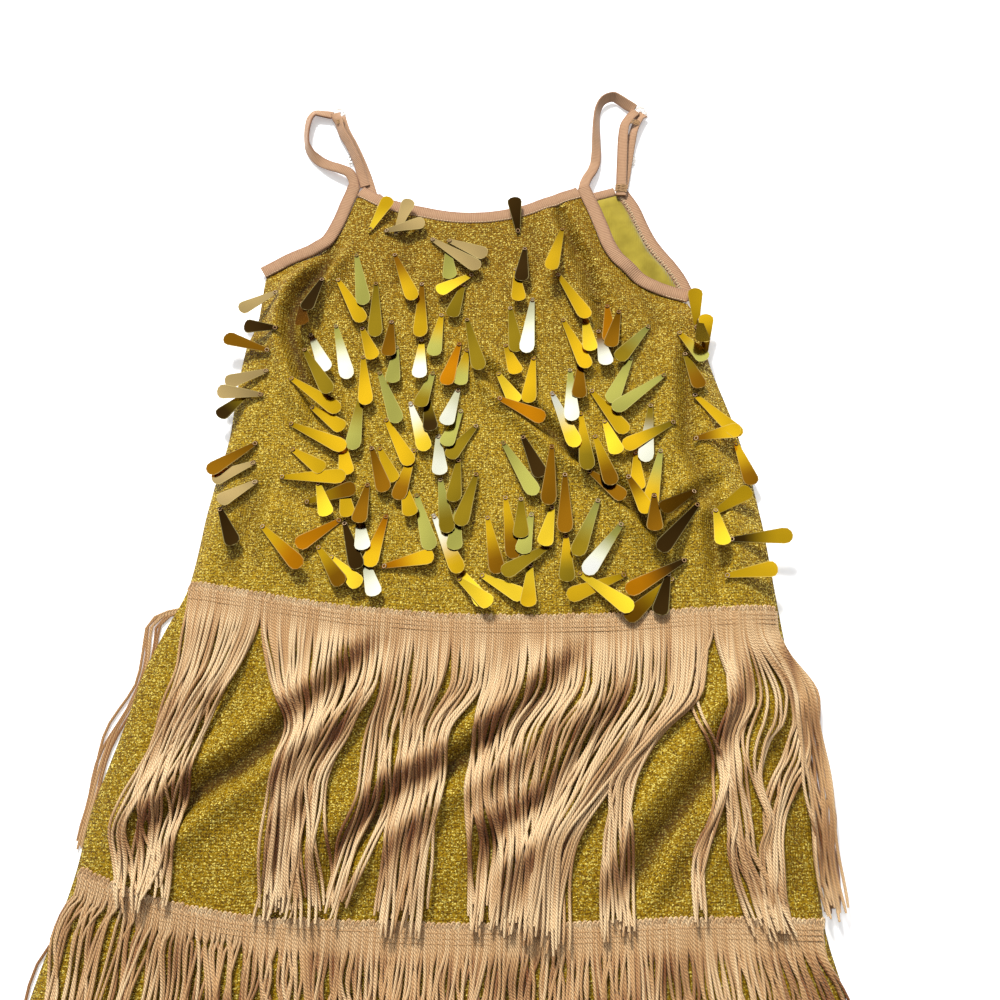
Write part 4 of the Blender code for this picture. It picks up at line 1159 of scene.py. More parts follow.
@dataclass(frozen=True)
class PlainThread:
    """Sewing thread."""

    name: str = "thread_cream"
    ground: Colour = colour(226, 200, 162)
    aged: Colour = colour(156, 112, 62)

    def build(self) -> Material:
        """Mixes the material.

        Returns:
            The material.
        """
        mix = Recipe(self.name)
        run = mix.own_map()
        ply = (mix.parts(run, 1) * 9.0 + mix.parts(run, 0) * 6.28).sine()
        aged = mix.mix(mix.attribute("tone", "Fac"), self.ground, self.aged)
        shade = mix.mix(0.2 - 0.2 * ply, aged, colour(110, 76, 44))
        return mix.dress(Base_Color=shade, Roughness=0.6, Normal=mix.bump(ply, 0.5, 0.0002))


@dataclass(frozen=True)
class ClearPlastic:
    """Clear moulded plastic of the rings and sliders."""

    name: str = "moulded_clear"
    ground: Colour = colour(236, 230, 222)

    def build(self) -> Material:
        """Mixes the material.

        Returns:
            The material.
        """
        mix = Recipe(self.name)
        cloudy = mix.noise(mix.object_place(), 900.0, 2.0)
        shade = mix.mix(cloudy * 0.25, self.ground, colour(190, 176, 160))
        return mix.dress(
            Base_Color=shade, Roughness=0.12 + 0.1 * cloudy, Transmission_Weight=0.75, IOR=1.49,
            Specular_IOR_Level=0.6,
        )


@dataclass(frozen=True)
class PaleFloor:
    """Plain pale studio floor."""

    name: str = "pale_floor"

    def build(self) -> Material:
        """Mixes the material.

        Returns:
            The material.
        """
        mix = Recipe(self.name)
        cloudy = mix.noise(mix.object_place(), 3.0, 2.0)
        shade = mix.mix(cloudy, colour(250, 250, 250), colour(246, 246, 247))
        return mix.dress(
            Base_Color=shade, Roughness=0.8, Emission_Color=(1.0, 1.0, 1.0, 1.0), Emission_Strength=0.32
        )


class Finish(Enum):
    """The dress's finishes."""

    KNIT = GlitterKnit()
    WRONG_SIDE = KnitWrongSide()
    BINDING = TanBinding()
    YARN = ChainetteYarn()
    FOIL = SequinFoil()
    THREAD = PlainThread()
    PLASTIC = ClearPlastic()
    FLOOR = PaleFloor()

    def material(self) -> Material:
        """The material of this finish, made when it is first wanted."""
        made = bpy.data.materials.get(self.value.name)
        return made if made is not None else self.value.build()


class Tone(Enum):
    """How a sequin looks where it shows: the foil's gold with painted reflection in it; W is a painted
    highlight and D a painted dark reflection.
    """

    G = colour(218, 174, 26)
    Y = colour(255, 216, 50)
    O = colour(192, 122, 10)
    L = colour(178, 174, 84)
    W = colour(255, 255, 232)
    D = colour(58, 40, 14)
    B = colour(140, 94, 14)
    T = colour(186, 160, 104)
    V = colour(140, 116, 24)


# Mesh building

# Turn of the painted shade round a strip's section, so that one edge is darker.
PAINTED_SHADE_TURN = 0.35
SHARP_ANGLE = math.radians(70)
SEQUIN_SHARP_ANGLE = math.radians(40)

def strip_mesh(rings: Array, along: Array, name: str) -> Mesh:
    """Makes a closed strip from rings of points, with its own map in millimetres.

    Its "tone" is painted shade: highest on its upper side and lowest underneath, turned so that one edge is
    darker.

    Args:
        rings: Points in metres, as (stations, points round the section, 3).
        along: How far down the strip each station lies, in millimetres.
        name: The mesh's name.

    Returns:
        The new mesh.
    """
    stations, around = rings.shape[:2]
    loop = np.concatenate([rings, rings[:, :1]], axis=1)
    girth = reach_of(loop[0]) / MILLIMETRE
    bm = bmesh.new()
    tone = bm.verts.layers.float.new("tone")
    run = bm.loops.layers.uv.new("run")
    grid = bmesh.ops.create_grid(bm, x_segments=around, y_segments=stations - 1, size=1.0)["verts"]
    index = {}
    for vert in grid:
        i = round((vert.co.x + 1) / 2 * around)
        j = round((vert.co.y + 1) / 2 * (stations - 1))
        index[vert] = (i, j)
    for face in bm.faces:
        for corner in face.loops:
            i, j = index[corner.vert]
            corner[run].uv = (girth[i], along[j])
    for vert, (i, j) in index.items():
        vert.co = loop[j, i]
        vert[tone] = math.sin(i * math.tau / around - PAINTED_SHADE_TURN)
    bmesh.ops.remove_doubles(bm, verts=bm.verts, dist=1e-7)
    bmesh.ops.holes_fill(bm, edges=bm.edges, sides=around)
    bmesh.ops.recalc_face_normals(bm, faces=bm.faces)
    return mesh_of(bm, name)


def rounded_section(width: float, thick: float, around: int, square: float) -> Array:
    """Section of a soft flat strip.

    Args:
        width: Its width.
        thick: Its thickness.
        around: How many points it has.
        square: 2 for an oval, and more for a squarer edge.

    Returns:
        Points as (across, up).
    """
    angle = np.arange(around) * 2 * math.pi / around
    c, s = np.cos(angle), np.sin(angle)
    power = 2 / square
    return np.stack(
        [np.sign(c) * np.abs(c) ** power * width / 2, np.sign(s) * np.abs(s) ** power * thick / 2], axis=1
    )


def carried_rings(centres: Array, rolls: Array, section: Array) -> Array:
    """Carries a section along a line without twisting it, apart from the stated rolls.

    Args:
        centres: The line, in (u, v, z).
        rolls: Roll at each point, in degrees.
        section: The section's points.

    Returns:
        Rings of points in (u, v, z).
    """
    flipped = centres * np.array([1.0, -1.0, 1.0])
    along = np.gradient(flipped, axis=0)
    along /= np.linalg.norm(along, axis=1)[:, None]
    side = np.cross(along[0], [0.0, 0.0, 1.0])
    rings = []
    for k, way in enumerate(along):
        side = side - way * np.dot(side, way)
        side /= np.linalg.norm(side)
        up = np.cross(side, way)
        turn = math.radians(rolls[k])
        wide = side * math.cos(turn) + up * math.sin(turn)
        tall = up * math.cos(turn) - side * math.sin(turn)
        ring = flipped[k] + section[:, :1] * wide + section[:, 1:] * tall
        rings.append(ring * np.array([1.0, -1.0, 1.0]))
    return np.array(rings)


@dataclass
class Copies:
    """Many copies of one tube, each bent its own way, joined into one mesh."""

    around: int
    stretches: int
    name: str
    corners: list[list[int]] = field(default_factory=list)
    ring_of: Array = field(default_factory=lambda: np.zeros(0, int))
    spoke_of: Array = field(default_factory=lambda: np.zeros(0))
    map_of: Array = field(default_factory=lambda: np.zeros((0, 2)))

    def cut_template(self) -> None:
        """Makes the tube that is copied: a grid rolled up, its seam merged and its ends filled."""
        bm = bmesh.new()
        grid = bmesh.ops.create_grid(bm, x_segments=self.around, y_segments=self.stretches, size=1.0)["verts"]
        run = bm.loops.layers.uv.new("run")
        for face in bm.faces:
            for corner in face.loops:
                corner[run].uv = ((corner.vert.co.x + 1) / 2, (corner.vert.co.y + 1) / 2)
        for vert in grid:
            turn = (vert.co.x + 1) * math.pi
            vert.co = Vector((math.cos(turn), math.sin(turn), (vert.co.y + 1) / 2 * self.stretches))
        bmesh.ops.remove_doubles(bm, verts=bm.verts, dist=1e-5)
        bmesh.ops.holes_fill(bm, edges=bm.edges, sides=self.around)
        bmesh.ops.recalc_face_normals(bm, faces=bm.faces)
        bm.verts.index_update()
        self.corners = [[v.index for v in face.verts] for face in bm.faces]
        self.map_of = np.array([corner[run].uv[:] for face in bm.faces for corner in face.loops])
        self.ring_of = np.array([round(v.co.z) for v in bm.verts])
        self.spoke_of = np.array([math.atan2(v.co.y, v.co.x) for v in bm.verts])
        bm.free()

    def join(self, lines: Array, wide: Array, tall: Array, tones: Array, bench: Bench) -> Mesh:
        """Bends a copy of the tube along each line and joins them.

        Args:
            lines: Middle lines, as (copies, stretches + 1, 3) in (u, v, z).
            wide: Half width across at each station, as (copies, stretches + 1).
            tall: Half height at each station.
            tones: A number from 0 to 1 for each copy, or for each station of each copy.
            bench: The bench that knows where the dress stands.

        Returns:
            The joined mesh.
        """
        if not self.corners:
            self.cut_template()
        copies = len(lines)
        along = np.gradient(lines, axis=1)
        along /= np.linalg.norm(along, axis=2)[..., None] + 1e-9
        side = np.cross(along, np.array([0.0, 0.0, 1.0]))
        side /= np.linalg.norm(side, axis=2)[..., None] + 1e-9
        up = np.cross(side, along)
        up *= np.where(up[..., 2:] < 0, -1.0, 1.0)
        ring, spoke = self.ring_of, self.spoke_of
        points = lines[:, ring]
        points = points + side[:, ring] * (wide[:, ring] * np.cos(spoke))[..., None]
        points = points + up[:, ring] * (tall[:, ring] * np.sin(spoke))[..., None]
        verts = bench.world(points).reshape(-1, 3)
        count = len(ring)
        sizes = np.array([len(face) for face in self.corners])
        flat = np.concatenate([np.array(face) for face in self.corners])
        every = (flat[None, :] + np.arange(copies)[:, None] * count).ravel()
        starts = np.concatenate([[0], np.cumsum(np.tile(sizes, copies))[:-1]])
        mesh = bpy.data.meshes.new(self.name)
        mesh.vertices.add(len(verts))
        mesh.vertices.foreach_set("co", verts.ravel())
        mesh.loops.add(len(every))
        mesh.loops.foreach_set("vertex_index", every.astype(np.int32))
        mesh.polygons.add(len(sizes) * copies)
        mesh.polygons.foreach_set("loop_start", starts.astype(np.int32))
        mesh.update(calc_edges=True)
        steps = np.linalg.norm(np.diff(lines, axis=1), axis=2)
        reach = np.concatenate([np.zeros((copies, 1)), np.cumsum(steps, axis=1)], axis=1)
        station = np.rint(self.map_of[:, 1] * self.stretches).astype(int)
        layer = mesh.uv_layers.new(name="run")
        run = np.stack([np.broadcast_to(self.map_of[:, 0], (copies, len(station))), reach[:, station]], axis=-1)
        layer.data.foreach_set("uv", run.astype(np.float32).ravel())
        tone = mesh.attributes.new("tone", "FLOAT", "POINT")
        shades = np.broadcast_to(np.reshape(tones, (copies, -1)), lines.shape[:2])[:, ring]
        tone.data.foreach_set("value", np.ascontiguousarray(shades, np.float32).ravel())
        mesh.validate()
        return mesh


# Pieces of the dress


@dataclass
class ClothPanel:
    """One panel of the body as a thin shell."""

    bench: Bench
    lay: Lay
    name: str
    armholes: tuple[Sequence[Point], Sequence[Point]]
    neckline: Sequence[float]
    finish: Finish
    is_front: bool
    columns: int = 150
    rows: int = 300
    thick: float = 0.8

    def plan(self, s: Array, t: Array) -> tuple[Array, Array]:
        """Places on the panel from shares across and down it.

        Args:
            s: Share of its width, from the viewer's left.
            t: Share of its length, from the neck.

        Returns:
            The places u and v.
        """
        keys = (self.neckline, UNDERARM, UPPER_BAND, LOWER_BAND, HEM)
        at = (0.0, 0.12, 0.47, 0.76, 1.0)
        heights = np.stack([smooth_value(STATIONS, key, s) for key in keys])
        k = np.clip(np.searchsorted(at, t, side="right") - 1, 0, len(at) - 2)
        part = (t - np.array(at)[k]) / (np.array(at)[k + 1] - np.array(at)[k])
        here = np.arange(len(s))
        v = heights[k, here] * (1 - part) + heights[k + 1, here] * part
        left = edge_at(self.armholes[0], LEFT_SIDE, v)
        right = edge_at(self.armholes[1], RIGHT_SIDE, v)
        return left + (right - left) * s, v

    def build(self) -> Piece:
        """Lays the panel out and gives it its thickness.

        Returns:
            The new piece.
        """
        bm = bmesh.new()
        bmesh.ops.create_grid(bm, x_segments=self.columns, y_segments=self.rows, size=1.0)
        points = np.array([vert.co[:] for vert in bm.verts])
        s = (points[:, 0] + 1) / 2
        t = (1 - points[:, 1]) / 2
        u, v = self.plan(s, t)
        if self.is_front:
            z = self.lay.front_top(u, v)
        else:
            z = self.lay.lift_at(v) + CLOTH + self.lay.relief(BACK_FOLDS, u, v)
        for vert, place in zip(bm.verts, self.bench.world(np.stack([u, v, z], axis=1))):
            vert.co = place
        mesh = mesh_of(bm, self.name)
        # Painted shade for the front's fold troughs, deepest at the bottom of each trough.
        hollow = mesh.attributes.new("hollow", "FLOAT", "POINT")
        depths = self.lay.hollow(FRONT_FOLDS if self.is_front else (), u, v)
        hollow.data.foreach_set("value", depths.astype(np.float32))
        piece = self.bench.place(self.name, mesh, self.finish.material(), "glitter_knit")
        shell = piece.modifiers.new("thickness", "SOLIDIFY")
        shell.thickness = self.thick * MILLIMETRE
        shell.offset = -1.0
        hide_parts(self.name.replace("cloth_", "") + "_panel")
        return piece


EDGE_PIECES = 60
STRAP_REACH = 5.4


@dataclass
class Bindings:
    """Tan binding round the necklines and armholes."""

    bench: Bench
    lay: Lay
    wide: float = 7.7
    narrow: float = 5.8
    overlap: float = 0.45
    thick: float = 1.9
    lowest: float = 2.9
    around: int = 14

    def edge(self, points: Sequence[Point], longer: float = 0.0) -> Array:
        """A cut edge as an even line, made longer where it starts.

        Args:
            points: The edge's points.
            longer: How much is added.

        Returns:
            Points along the line.
        """
        rows = smooth_line(points, EDGE_PIECES)
        if not longer:
            return rows
        first = (rows[0] - rows[1]) / np.linalg.norm(rows[0] - rows[1])
        return np.vstack([rows[:1] + first * longer, rows])

    def neck_edge(self, heights: Sequence[float], armholes: tuple[Sequence[Point], Sequence[Point]]) -> Array:
        """The line of a neckline.

        Args:
            heights: Its levels at the stations.
            armholes: The armholes beside it.

        Returns:
            Points along the line.
        """
        s = np.linspace(0.0, 1.0, EDGE_PIECES + 1)
        v = smooth_value(STATIONS, heights, s)
        left = edge_at(armholes[0], LEFT_SIDE, v)
        right = edge_at(armholes[1], RIGHT_SIDE, v)
        return np.stack([left + (right - left) * s, v], axis=1)

    def build_one(self, name: str, edge: Array, outward: int, is_front: bool) -> Piece:
        """Makes one stretch.

        Args:
            name: The node that it stands for.
            edge: The cut edge that it binds.
            outward: 1 if it lies to the left of the edge's direction, -1 if to the right.
            is_front: Whether it binds the front.

        Returns:
            The new piece.
        """
        width = self.narrow if name == "neck_binding_back" else self.wide
        section = rounded_section(width, self.thick, self.around, 2.6)
        middle = SEAM_GAP + width / 2 - self.overlap
        centre = offset_line(edge, outward, middle)
        if is_front:
            level = np.maximum(self.lay.front_top(centre[:, 0], centre[:, 1]) - CLOTH / 2, self.lowest)
        else:
            level = np.full(len(centre), self.thick / 2 + 0.02)
        rings = []
        for across, rise in section:
            line = offset_line(edge, outward, middle + across)
            rings.append(np.column_stack([line, level + rise]))
        stations = np.stack(rings, axis=1)
        mesh = strip_mesh(self.bench.world(stations), reach_of(centre), name + "_cloth")
        piece = self.bench.place(name + "_cloth", mesh, Finish.BINDING.material(), "binding_tan")
        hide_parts(name)
        return piece

    def build(self) -> list[Piece]:
        """Makes every stretch.

        Returns:
            The new pieces.
        """
        made = []
        for side, armholes, neckline, longer in (
            ("front", FRONT_ARMHOLES, FRONT_NECKLINE, STRAP_REACH), ("back", BACK_ARMHOLES, BACK_NECKLINE, 0.0),
        ):
            is_front = side == "front"
            made.append(self.build_one(f"neck_binding_{side}", self.neck_edge(neckline, armholes), 1, is_front))
            for hand, armhole, outward in zip(("left", "right"), armholes, (-1, 1)):
                edge = self.edge(armhole, longer)
                made.append(self.build_one(f"armhole_binding_{hand}_{side}", edge, outward, is_front))
        return made


@dataclass
class Straps:
    """Shoulder straps, with their rings and sliders."""

    bench: Bench
    ring_radius: float = 3.4
    ring_wire: float = 0.72

    def ribbon(self, name: str, table: Sequence[StrapPoint], node: str = "") -> Piece:
        """Makes one stretch of strap.

        Args:
            name: The piece's name.
            table: Its middle line.
            node: The node that it stands for, if it stands for one.

        Returns:
            The new piece.
        """
        line = smooth_line([tuple(point) for point in table], 80)
        section = rounded_section(STRAP_WIDTH, STRAP_THICK, 14, 3.6)
        rings = carried_rings(line[:, :3], line[:, 3], section)
        mesh = strip_mesh(self.bench.world(rings), reach_of(line[:, :3]), name + "_cloth")
        piece = self.bench.place(name + "_cloth", mesh, Finish.BINDING.material(), "binding_tan")
        if node:
            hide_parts(node)
        return piece

    def fitting(self, name: str, bm: bmesh.types.BMesh) -> Piece:
        """Places a clear fitting that stands for the node of its name.

        Args:
            name: The node.
            bm: The finished bmesh.

        Returns:
            The new piece.
        """
        piece = self.bench.place(name + "_clear", mesh_of(bm, name), Finish.PLASTIC.material(), "clear_plastic")
        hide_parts(name)
        return piece

    def ring(self, name: str, place: Point) -> Piece:
        """Makes a round ring by spinning its wire.

        Args:
            name: The node.
            place: Its middle.

        Returns:
            The new piece.
        """
        bm = bmesh.new()
        wire = bmesh.ops.create_circle(bm, segments=12, radius=self.ring_wire * MILLIMETRE)["verts"]
        bmesh.ops.rotate(bm, verts=wire, cent=(0, 0, 0), matrix=Matrix.Rotation(math.radians(90), 3, "X"))
        bmesh.ops.translate(bm, verts=wire, vec=(self.ring_radius * MILLIMETRE, 0, 0))
        bmesh.ops.spin(
            bm, geom=bm.verts[:] + bm.edges[:], cent=(0, 0, 0), axis=(0, 0, 1), angle=math.tau,
            steps=40, use_merge=True,
        )
        bmesh.ops.remove_doubles(bm, verts=bm.verts, dist=1e-7)
        centre = self.bench.world(np.array([place.u, place.v, 1.3]))
        bmesh.ops.translate(bm, verts=bm.verts, vec=centre)
        bmesh.ops.recalc_face_normals(bm, faces=bm.faces)
        return self.fitting(name, bm)

    def slider(self, name: str, place: Point, towards: Point) -> Piece:
        """Makes a slider: a flat frame with a middle bar and rounded edges.

        Args:
            name: The node.
            place: Its middle.
            towards: A point further up the strap.

        Returns:
            The new piece.
        """
        bm = bmesh.new()
        bmesh.ops.create_grid(bm, x_segments=5, y_segments=3, size=1.0)
        columns = (-3.0, -1.9, -0.6, 0.6, 1.9, 3.0)
        rows = (-4.7, -3.6, 3.6, 4.7)
        for vert in bm.verts:
            i = round((vert.co.x + 1) / 2 * 5)
            j = round((vert.co.y + 1) / 2 * 3)
            vert.co = Vector((columns[i], rows[j], 0.0)) * MILLIMETRE
        windows = [
            f for f in bm.faces
            if abs(f.calc_center_median().y) < 0.001 and 0.0007 < abs(f.calc_center_median().x) < 0.0018
        ]
        bmesh.ops.delete(bm, geom=windows, context="FACES")
        raised = bmesh.ops.extrude_face_region(bm, geom=bm.faces[:])["geom"]
        bmesh.ops.translate(
            bm, verts=[g for g in raised if isinstance(g, bmesh.types.BMVert)], vec=(0, 0, 0.001)
        )
        bmesh.ops.recalc_face_normals(bm, faces=bm.faces)
        sharp = [e for e in bm.edges if len(e.link_faces) == 2 and e.calc_face_angle(0.0) > 1.0]
        bmesh.ops.bevel(
            bm, geom=sharp, offset=0.00022, segments=2, profile=0.5, affect="EDGES", material=-1
        )
        angle = math.atan2(-(towards.v - place.v), towards.u - place.u)
        bmesh.ops.rotate(bm, verts=bm.verts, cent=(0, 0, 0), matrix=Matrix.Rotation(angle, 3, "Z"))
        bmesh.ops.translate(bm, verts=bm.verts, vec=self.bench.world(np.array([place.u, place.v, 0.4])))
        return self.fitting(name, bm)

    def build(self) -> list[Piece]:
        """Makes the straps and their fittings.

        Returns:
            The new pieces.
        """
        return [
            self.ribbon("strap_left_front", STRAP_LEFT_FRONT, "strap_left_front"),
            self.ribbon("strap_right_front", STRAP_RIGHT_FRONT, "strap_right_front"),
            self.ribbon("strap_left_back", STRAP_LEFT_BACK, "strap_left_back"),
            self.ribbon("strap_left_turned", STRAP_LEFT_TURNED),
            self.ribbon("strap_right_back", STRAP_RIGHT_BACK, "strap_right_back"),
            self.ribbon("strap_right_turned", STRAP_RIGHT_TURNED),
            self.ring("ring_left", RING_LEFT),
            self.ring("ring_right", RING_RIGHT),
            self.slider("slider_left", SLIDER_LEFT, SLIDER_LEFT_FACES),
            self.slider("slider_right", SLIDER_RIGHT, SLIDER_RIGHT_FACES),
        ]


@dataclass
class Fringe:
    """One tier of fringe on one panel: a woven header and its strands."""

    bench: Bench
    lay: Lay
    name: str
    band: Sequence[float]
    tufts: Sequence[Tuft]
    is_front: bool
    seed: int
    crosses: Sequence[float] | None = None
    pitch: float = 1.15
    heave: float = 0.8
    level: float = 0.27
    patches: float = 0.05
    around: int = 6
    stretches: int = 34
    crossing_rise: float = 2.1
    loose_share: float = 0.3
    weft_rows: tuple[float, ...] = (3.2, 5.3, 7.4)
    weft_size: tuple[float, float] = (0.24, 0.2)
    loop_size: tuple[float, float] = (0.68, 0.66)
    backing_tone: float = 0.3

    def band_top(self, u: Array) -> Array:
        """Where the header starts at u.

        Args:
            u: Places across.

        Returns:
            The level v at each place.
        """
        guess = np.zeros(np.shape(u))
        for _ in range(3):
            left = edge_at(FRONT_ARMHOLE_LEFT, LEFT_SIDE, guess)
            right = edge_at(FRONT_ARMHOLE_RIGHT, RIGHT_SIDE, guess)
            guess = smooth_value(STATIONS, self.band, np.clip((u - left) / (right - left), 0.0, 1.0))
        return guess

    def ground(self, u: Array, v: Array) -> Array:
        """Height of what the strands lie on.

        Args:
            u: Places across.
            v: Places down.

        Returns:
            The height at each place.
        """
        if not self.is_front:
            return np.full(np.shape(u), 0.1)
        level = self.lay.on_top(u, v, BACK_FRINGE_TOP)
        if self.crosses is not None:
            crossed = smooth_value(STATIONS, self.crosses, np.clip((u + 165) / 330, 0.0, 1.0))
            level = level + self.crossing_rise * smooth_step(crossed - 6, crossed + 1, v)
        return level

    def header_level(self, u: Array, v: Array) -> Array:
        """Height of the header's underside."""
        return self.lay.on_front(u, v) + 0.1 if self.is_front else np.full(np.shape(u), 0.0)

    def strand(
        self, tuft: Tuft, share: float, count: int, heave: float, luck: random.Random
    ) -> tuple[Array, Array]:
        """Works out one strand.

        Args:
            tuft: The tuft that it hangs in.
            share: Its place in the tuft, from 0 to 1.
            count: How many strands the tuft has.
            heave: Where the tuft's waves start.
            luck: The source of chance.

        Returns:
            Its middle line, and its tone along it, with painted light and shade in it.
        """
        root = tuft.root_from + (tuft.root_to - tuft.root_from) * share
        top = float(self.band_top(np.array(root)))
        tip = tuft.run[-1][0] + luck.uniform(-8.0, 5.0)
        downs = [top + 1.2, top + HEADER_DEEP, *(row[0] for row in tuft.run[:-1]), tip]
        leaves = downs[1]
        room = min(1.0, (tuft.run[-1][2] - tuft.run[-1][1]) / 14)
        stray = luck.uniform(-6.0, 6.0) * room if luck.random() < self.loose_share else 0.0
        swing, rate, start = luck.uniform(0.06, 0.3), luck.uniform(0.5, 1.5), luck.uniform(0, math.tau)
        places, crowding = [root, root], [1.0, 1.0]
        for number, (_, left, right) in enumerate(tuft.run):
            reach = (number + 1) / len(tuft.run)
            mixed = share + swing * math.sin(start + 5 * reach * rate) * min(1.0, 2 * reach)
            wide = right - left
            places.append(left + wide * min(max(mixed, 0.0), 1.0) + stray * reach ** 1.5)
            crowding.append(max(1.0, count * 2 * STRAND_RADIUS / (wide + 2.5)))
        v = np.linspace(downs[0], downs[-1], 2 * self.stretches + 1)
        u = smooth_value(downs, places, v)
        crowd = smooth_value(downs, crowding, v)
        loose = smooth_step(leaves, leaves + 40, v)
        u = u + loose * 0.55 * np.sin(v / luck.uniform(5.5, 11.0) + start)
        u = u + loose * 1.1 * np.sin(v / luck.uniform(15.0, 27.0) + start * 1.7)
        heap = math.sqrt(max(0.0, 1 - (2 * share - 1) ** 2)) * 0.7 + 0.3
        layer = luck.random()
        pile = (crowd - 1) * 1.5 * layer * heap + (0.9 * loose if stray else 0.0)
        pile = pile + loose * self.heave * (1 + np.sin(v / 8.0 + heave + 0.9 * share))
        pile = pile + 1.1 * layer * smooth_step(leaves, leaves + 8, v)
        z = self.strand_height(u, v, pile, leaves, self.header_place(root, 4)[1])
        slope = np.convolve(np.pad(np.gradient(z, v), 2, mode="edge"), np.ones(5) / 5, mode="valid")
        # Painted light and shade: strands high in the pile are lighter and those under them darker, and
        # stretches that face the window are lighter and those that face away darker, as a painted sheen.
        shade = self.level + 0.26 * luck.random() + 0.45 * layer + np.clip(slope * 1.8, -0.55, 0.35)
        shade += self.patches * np.sin(root / 6.5 + 1.4 * np.sin(v / 17 + heave)) * loose
        # Painted shadow: strands beyond the front are darker, as in the dress's shadow.
        shade -= 0.24 * (1 - self.lay.covered(u, v))
        # Near the header the tone is set afresh, keeping the painted shade on strands low in the pile.
        sewn = smooth_step(leaves + 9, leaves - 1, v)
        shade = shade * (1 - sewn) + (0.5 + 0.3 * layer) * sewn
        rows = np.column_stack([u, v, z, np.clip(shade, 0.0, 1.0)])
        reach = reach_of(rows[:, :3])
        at = np.linspace(0.0, reach[-1], self.stretches + 1)
        rows = np.stack([np.interp(at, reach, rows[:, k]) for k in range(4)], axis=1)
        return rows[:, :3], rows[:, 3]

    def strand_height(self, u: Array, v: Array, pile: Array, leaves: float, header: float) -> Array:
        """Lays a strand on what is under it.

        Args:
            u: Its places across.
            v: Its places down.
            pile: How high it lies on other strands.
            leaves: Where it leaves the header.
            header: Height of the header's underside there.

        Returns:
            Its height at each place.
        """
        base = self.ground(u, v)
        if not self.is_front:
            return base + STRAND_RADIUS * 0.8 + np.minimum(pile, 0.2)
        soft = np.convolve(np.pad(base, 4, mode="edge"), np.ones(9) / 9, mode="valid")
        base = np.maximum(base, soft * 0.6 + base * 0.4)
        blend = smooth_step(leaves - 1, leaves + 6, v)
        z = (header + 1.1) * (1 - blend) + (base + STRAND_RADIUS + 0.1 + pile) * blend
        return np.maximum(z, base + STRAND_RADIUS)

    def strand_lines(self) -> tuple[Array, Array]:
        """Works out every strand.

        Returns:
            The middle lines and their tones.
        """
        luck = random.Random(self.seed)
        made = []
        for tuft in self.tufts:
            heave = luck.uniform(0.0, math.tau)
            count = max(1, round((tuft.root_to - tuft.root_from) / self.pitch * tuft.fullness))
            made += [self.strand(tuft, (k + 0.5) / count, count, heave, luck) for k in range(count)]
        lines, tones = zip(*made)
        return np.array(lines), np.array(tones)

    def strands(self) -> Piece:
        """Makes the strands.

        Returns:
            The new piece.
        """
        lines, tones = self.strand_lines()
        radii = np.full(lines.shape[:2], STRAND_RADIUS)
        radii[:, -1] *= 0.7
        tube = Copies(self.around, self.stretches, self.name + "_strands")
        squash = 1.0 if self.is_front else 0.8
        mesh = tube.join(lines, radii, radii * squash, tones, self.bench)
        piece = self.bench.place(self.name + "_strands", mesh, Finish.YARN.material(), "fringe_champagne")
        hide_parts(self.name)
        return piece

    def header_place(self, root: float, below: float) -> tuple[float, float]:
        """Where the header starts at root, and its underside's height at a step below that."""
        top = float(self.band_top(np.array(root)))
        return top, float(self.header_level(np.array(root), np.array(top + below)))

    def header(self) -> Piece:
        """Makes the woven strip's threads: slanting loops along its upper edge, and the weft rows.

        Returns:
            The new piece.
        """
        first, last = self.tufts[0].root_from, self.tufts[-1].root_to
        luck = random.Random(self.seed + 1)
        steps = 10
        t = np.linspace(0.0, 1.0, steps + 1)
        arch = np.sin(t * math.pi)
        lines, sizes, tones = [], [], []
        for root in np.arange(first + STRAND_PITCH, last, 1.5 * STRAND_PITCH):
            top, level = self.header_place(root, 2)
            loop_u = root - 0.6 + 1.2 * arch + luck.uniform(-0.2, 0.2)
            loop_v = top + 3.0 - 3.9 * arch ** 0.7 + luck.uniform(-0.4, 0.4)
            lines.append(np.stack([loop_u + (t - 0.5) * 2.0, loop_v, level + 1.0 + 0.65 * arch], axis=1))
            sizes.append(self.loop_size)
            tones.append((0.55, 1.0))
        for row in self.weft_rows:
            for number, root in enumerate(np.arange(first + STRAND_PITCH / 2, last, STRAND_PITCH)[:-1]):
                top, level = self.header_place(root, row)
                across = root + (t - 0.12) * STRAND_PITCH * 1.2
                down = top + row + (0.1 if number % 2 else -0.1) * np.cos(t * math.pi)
                rise = level + 1.15 + STRAND_RADIUS * 0.5 + 0.16 * arch
                lines.append(np.stack([across, down, rise], axis=1))
                sizes.append(self.weft_size)
                tones.append((0.35, 0.6))
        wide, tall = np.repeat(np.array(sizes).T[..., None], steps + 1, axis=2)
        tube = Copies(5, steps, self.name + "_header")
        shades = np.array([luck.uniform(*span) for span in tones])
        mesh = tube.join(np.array(lines), wide, tall, shades, self.bench)
        return self.bench.place(self.name + "_header", mesh, Finish.YARN.material(), "fringe_champagne")

    def backing(self) -> Piece:
        """Makes the flat band under the header's threads.

        Returns:
            The new piece.
        """
        first, last = self.tufts[0].root_from, self.tufts[-1].root_to
        u = np.linspace(first, last, 121)
        top = self.band_top(u)
        rings = []
        for across, rise in rounded_section(HEADER_DEEP - 1.2, 0.9, 10, 4.0):
            v = top + HEADER_DEEP / 2 + 0.4 + across
            rings.append(np.stack([u, v, self.header_level(u, v) + 0.5 + rise], axis=1))
        mesh = strip_mesh(self.bench.world(np.stack(rings, axis=1)), u, self.name + "_backing")
        tones = np.full(len(mesh.vertices), self.backing_tone, np.float32)
        mesh.attributes["tone"].data.foreach_set("value", tones)
        return self.bench.place(self.name + "_backing", mesh, Finish.YARN.material(), "fringe_champagne")

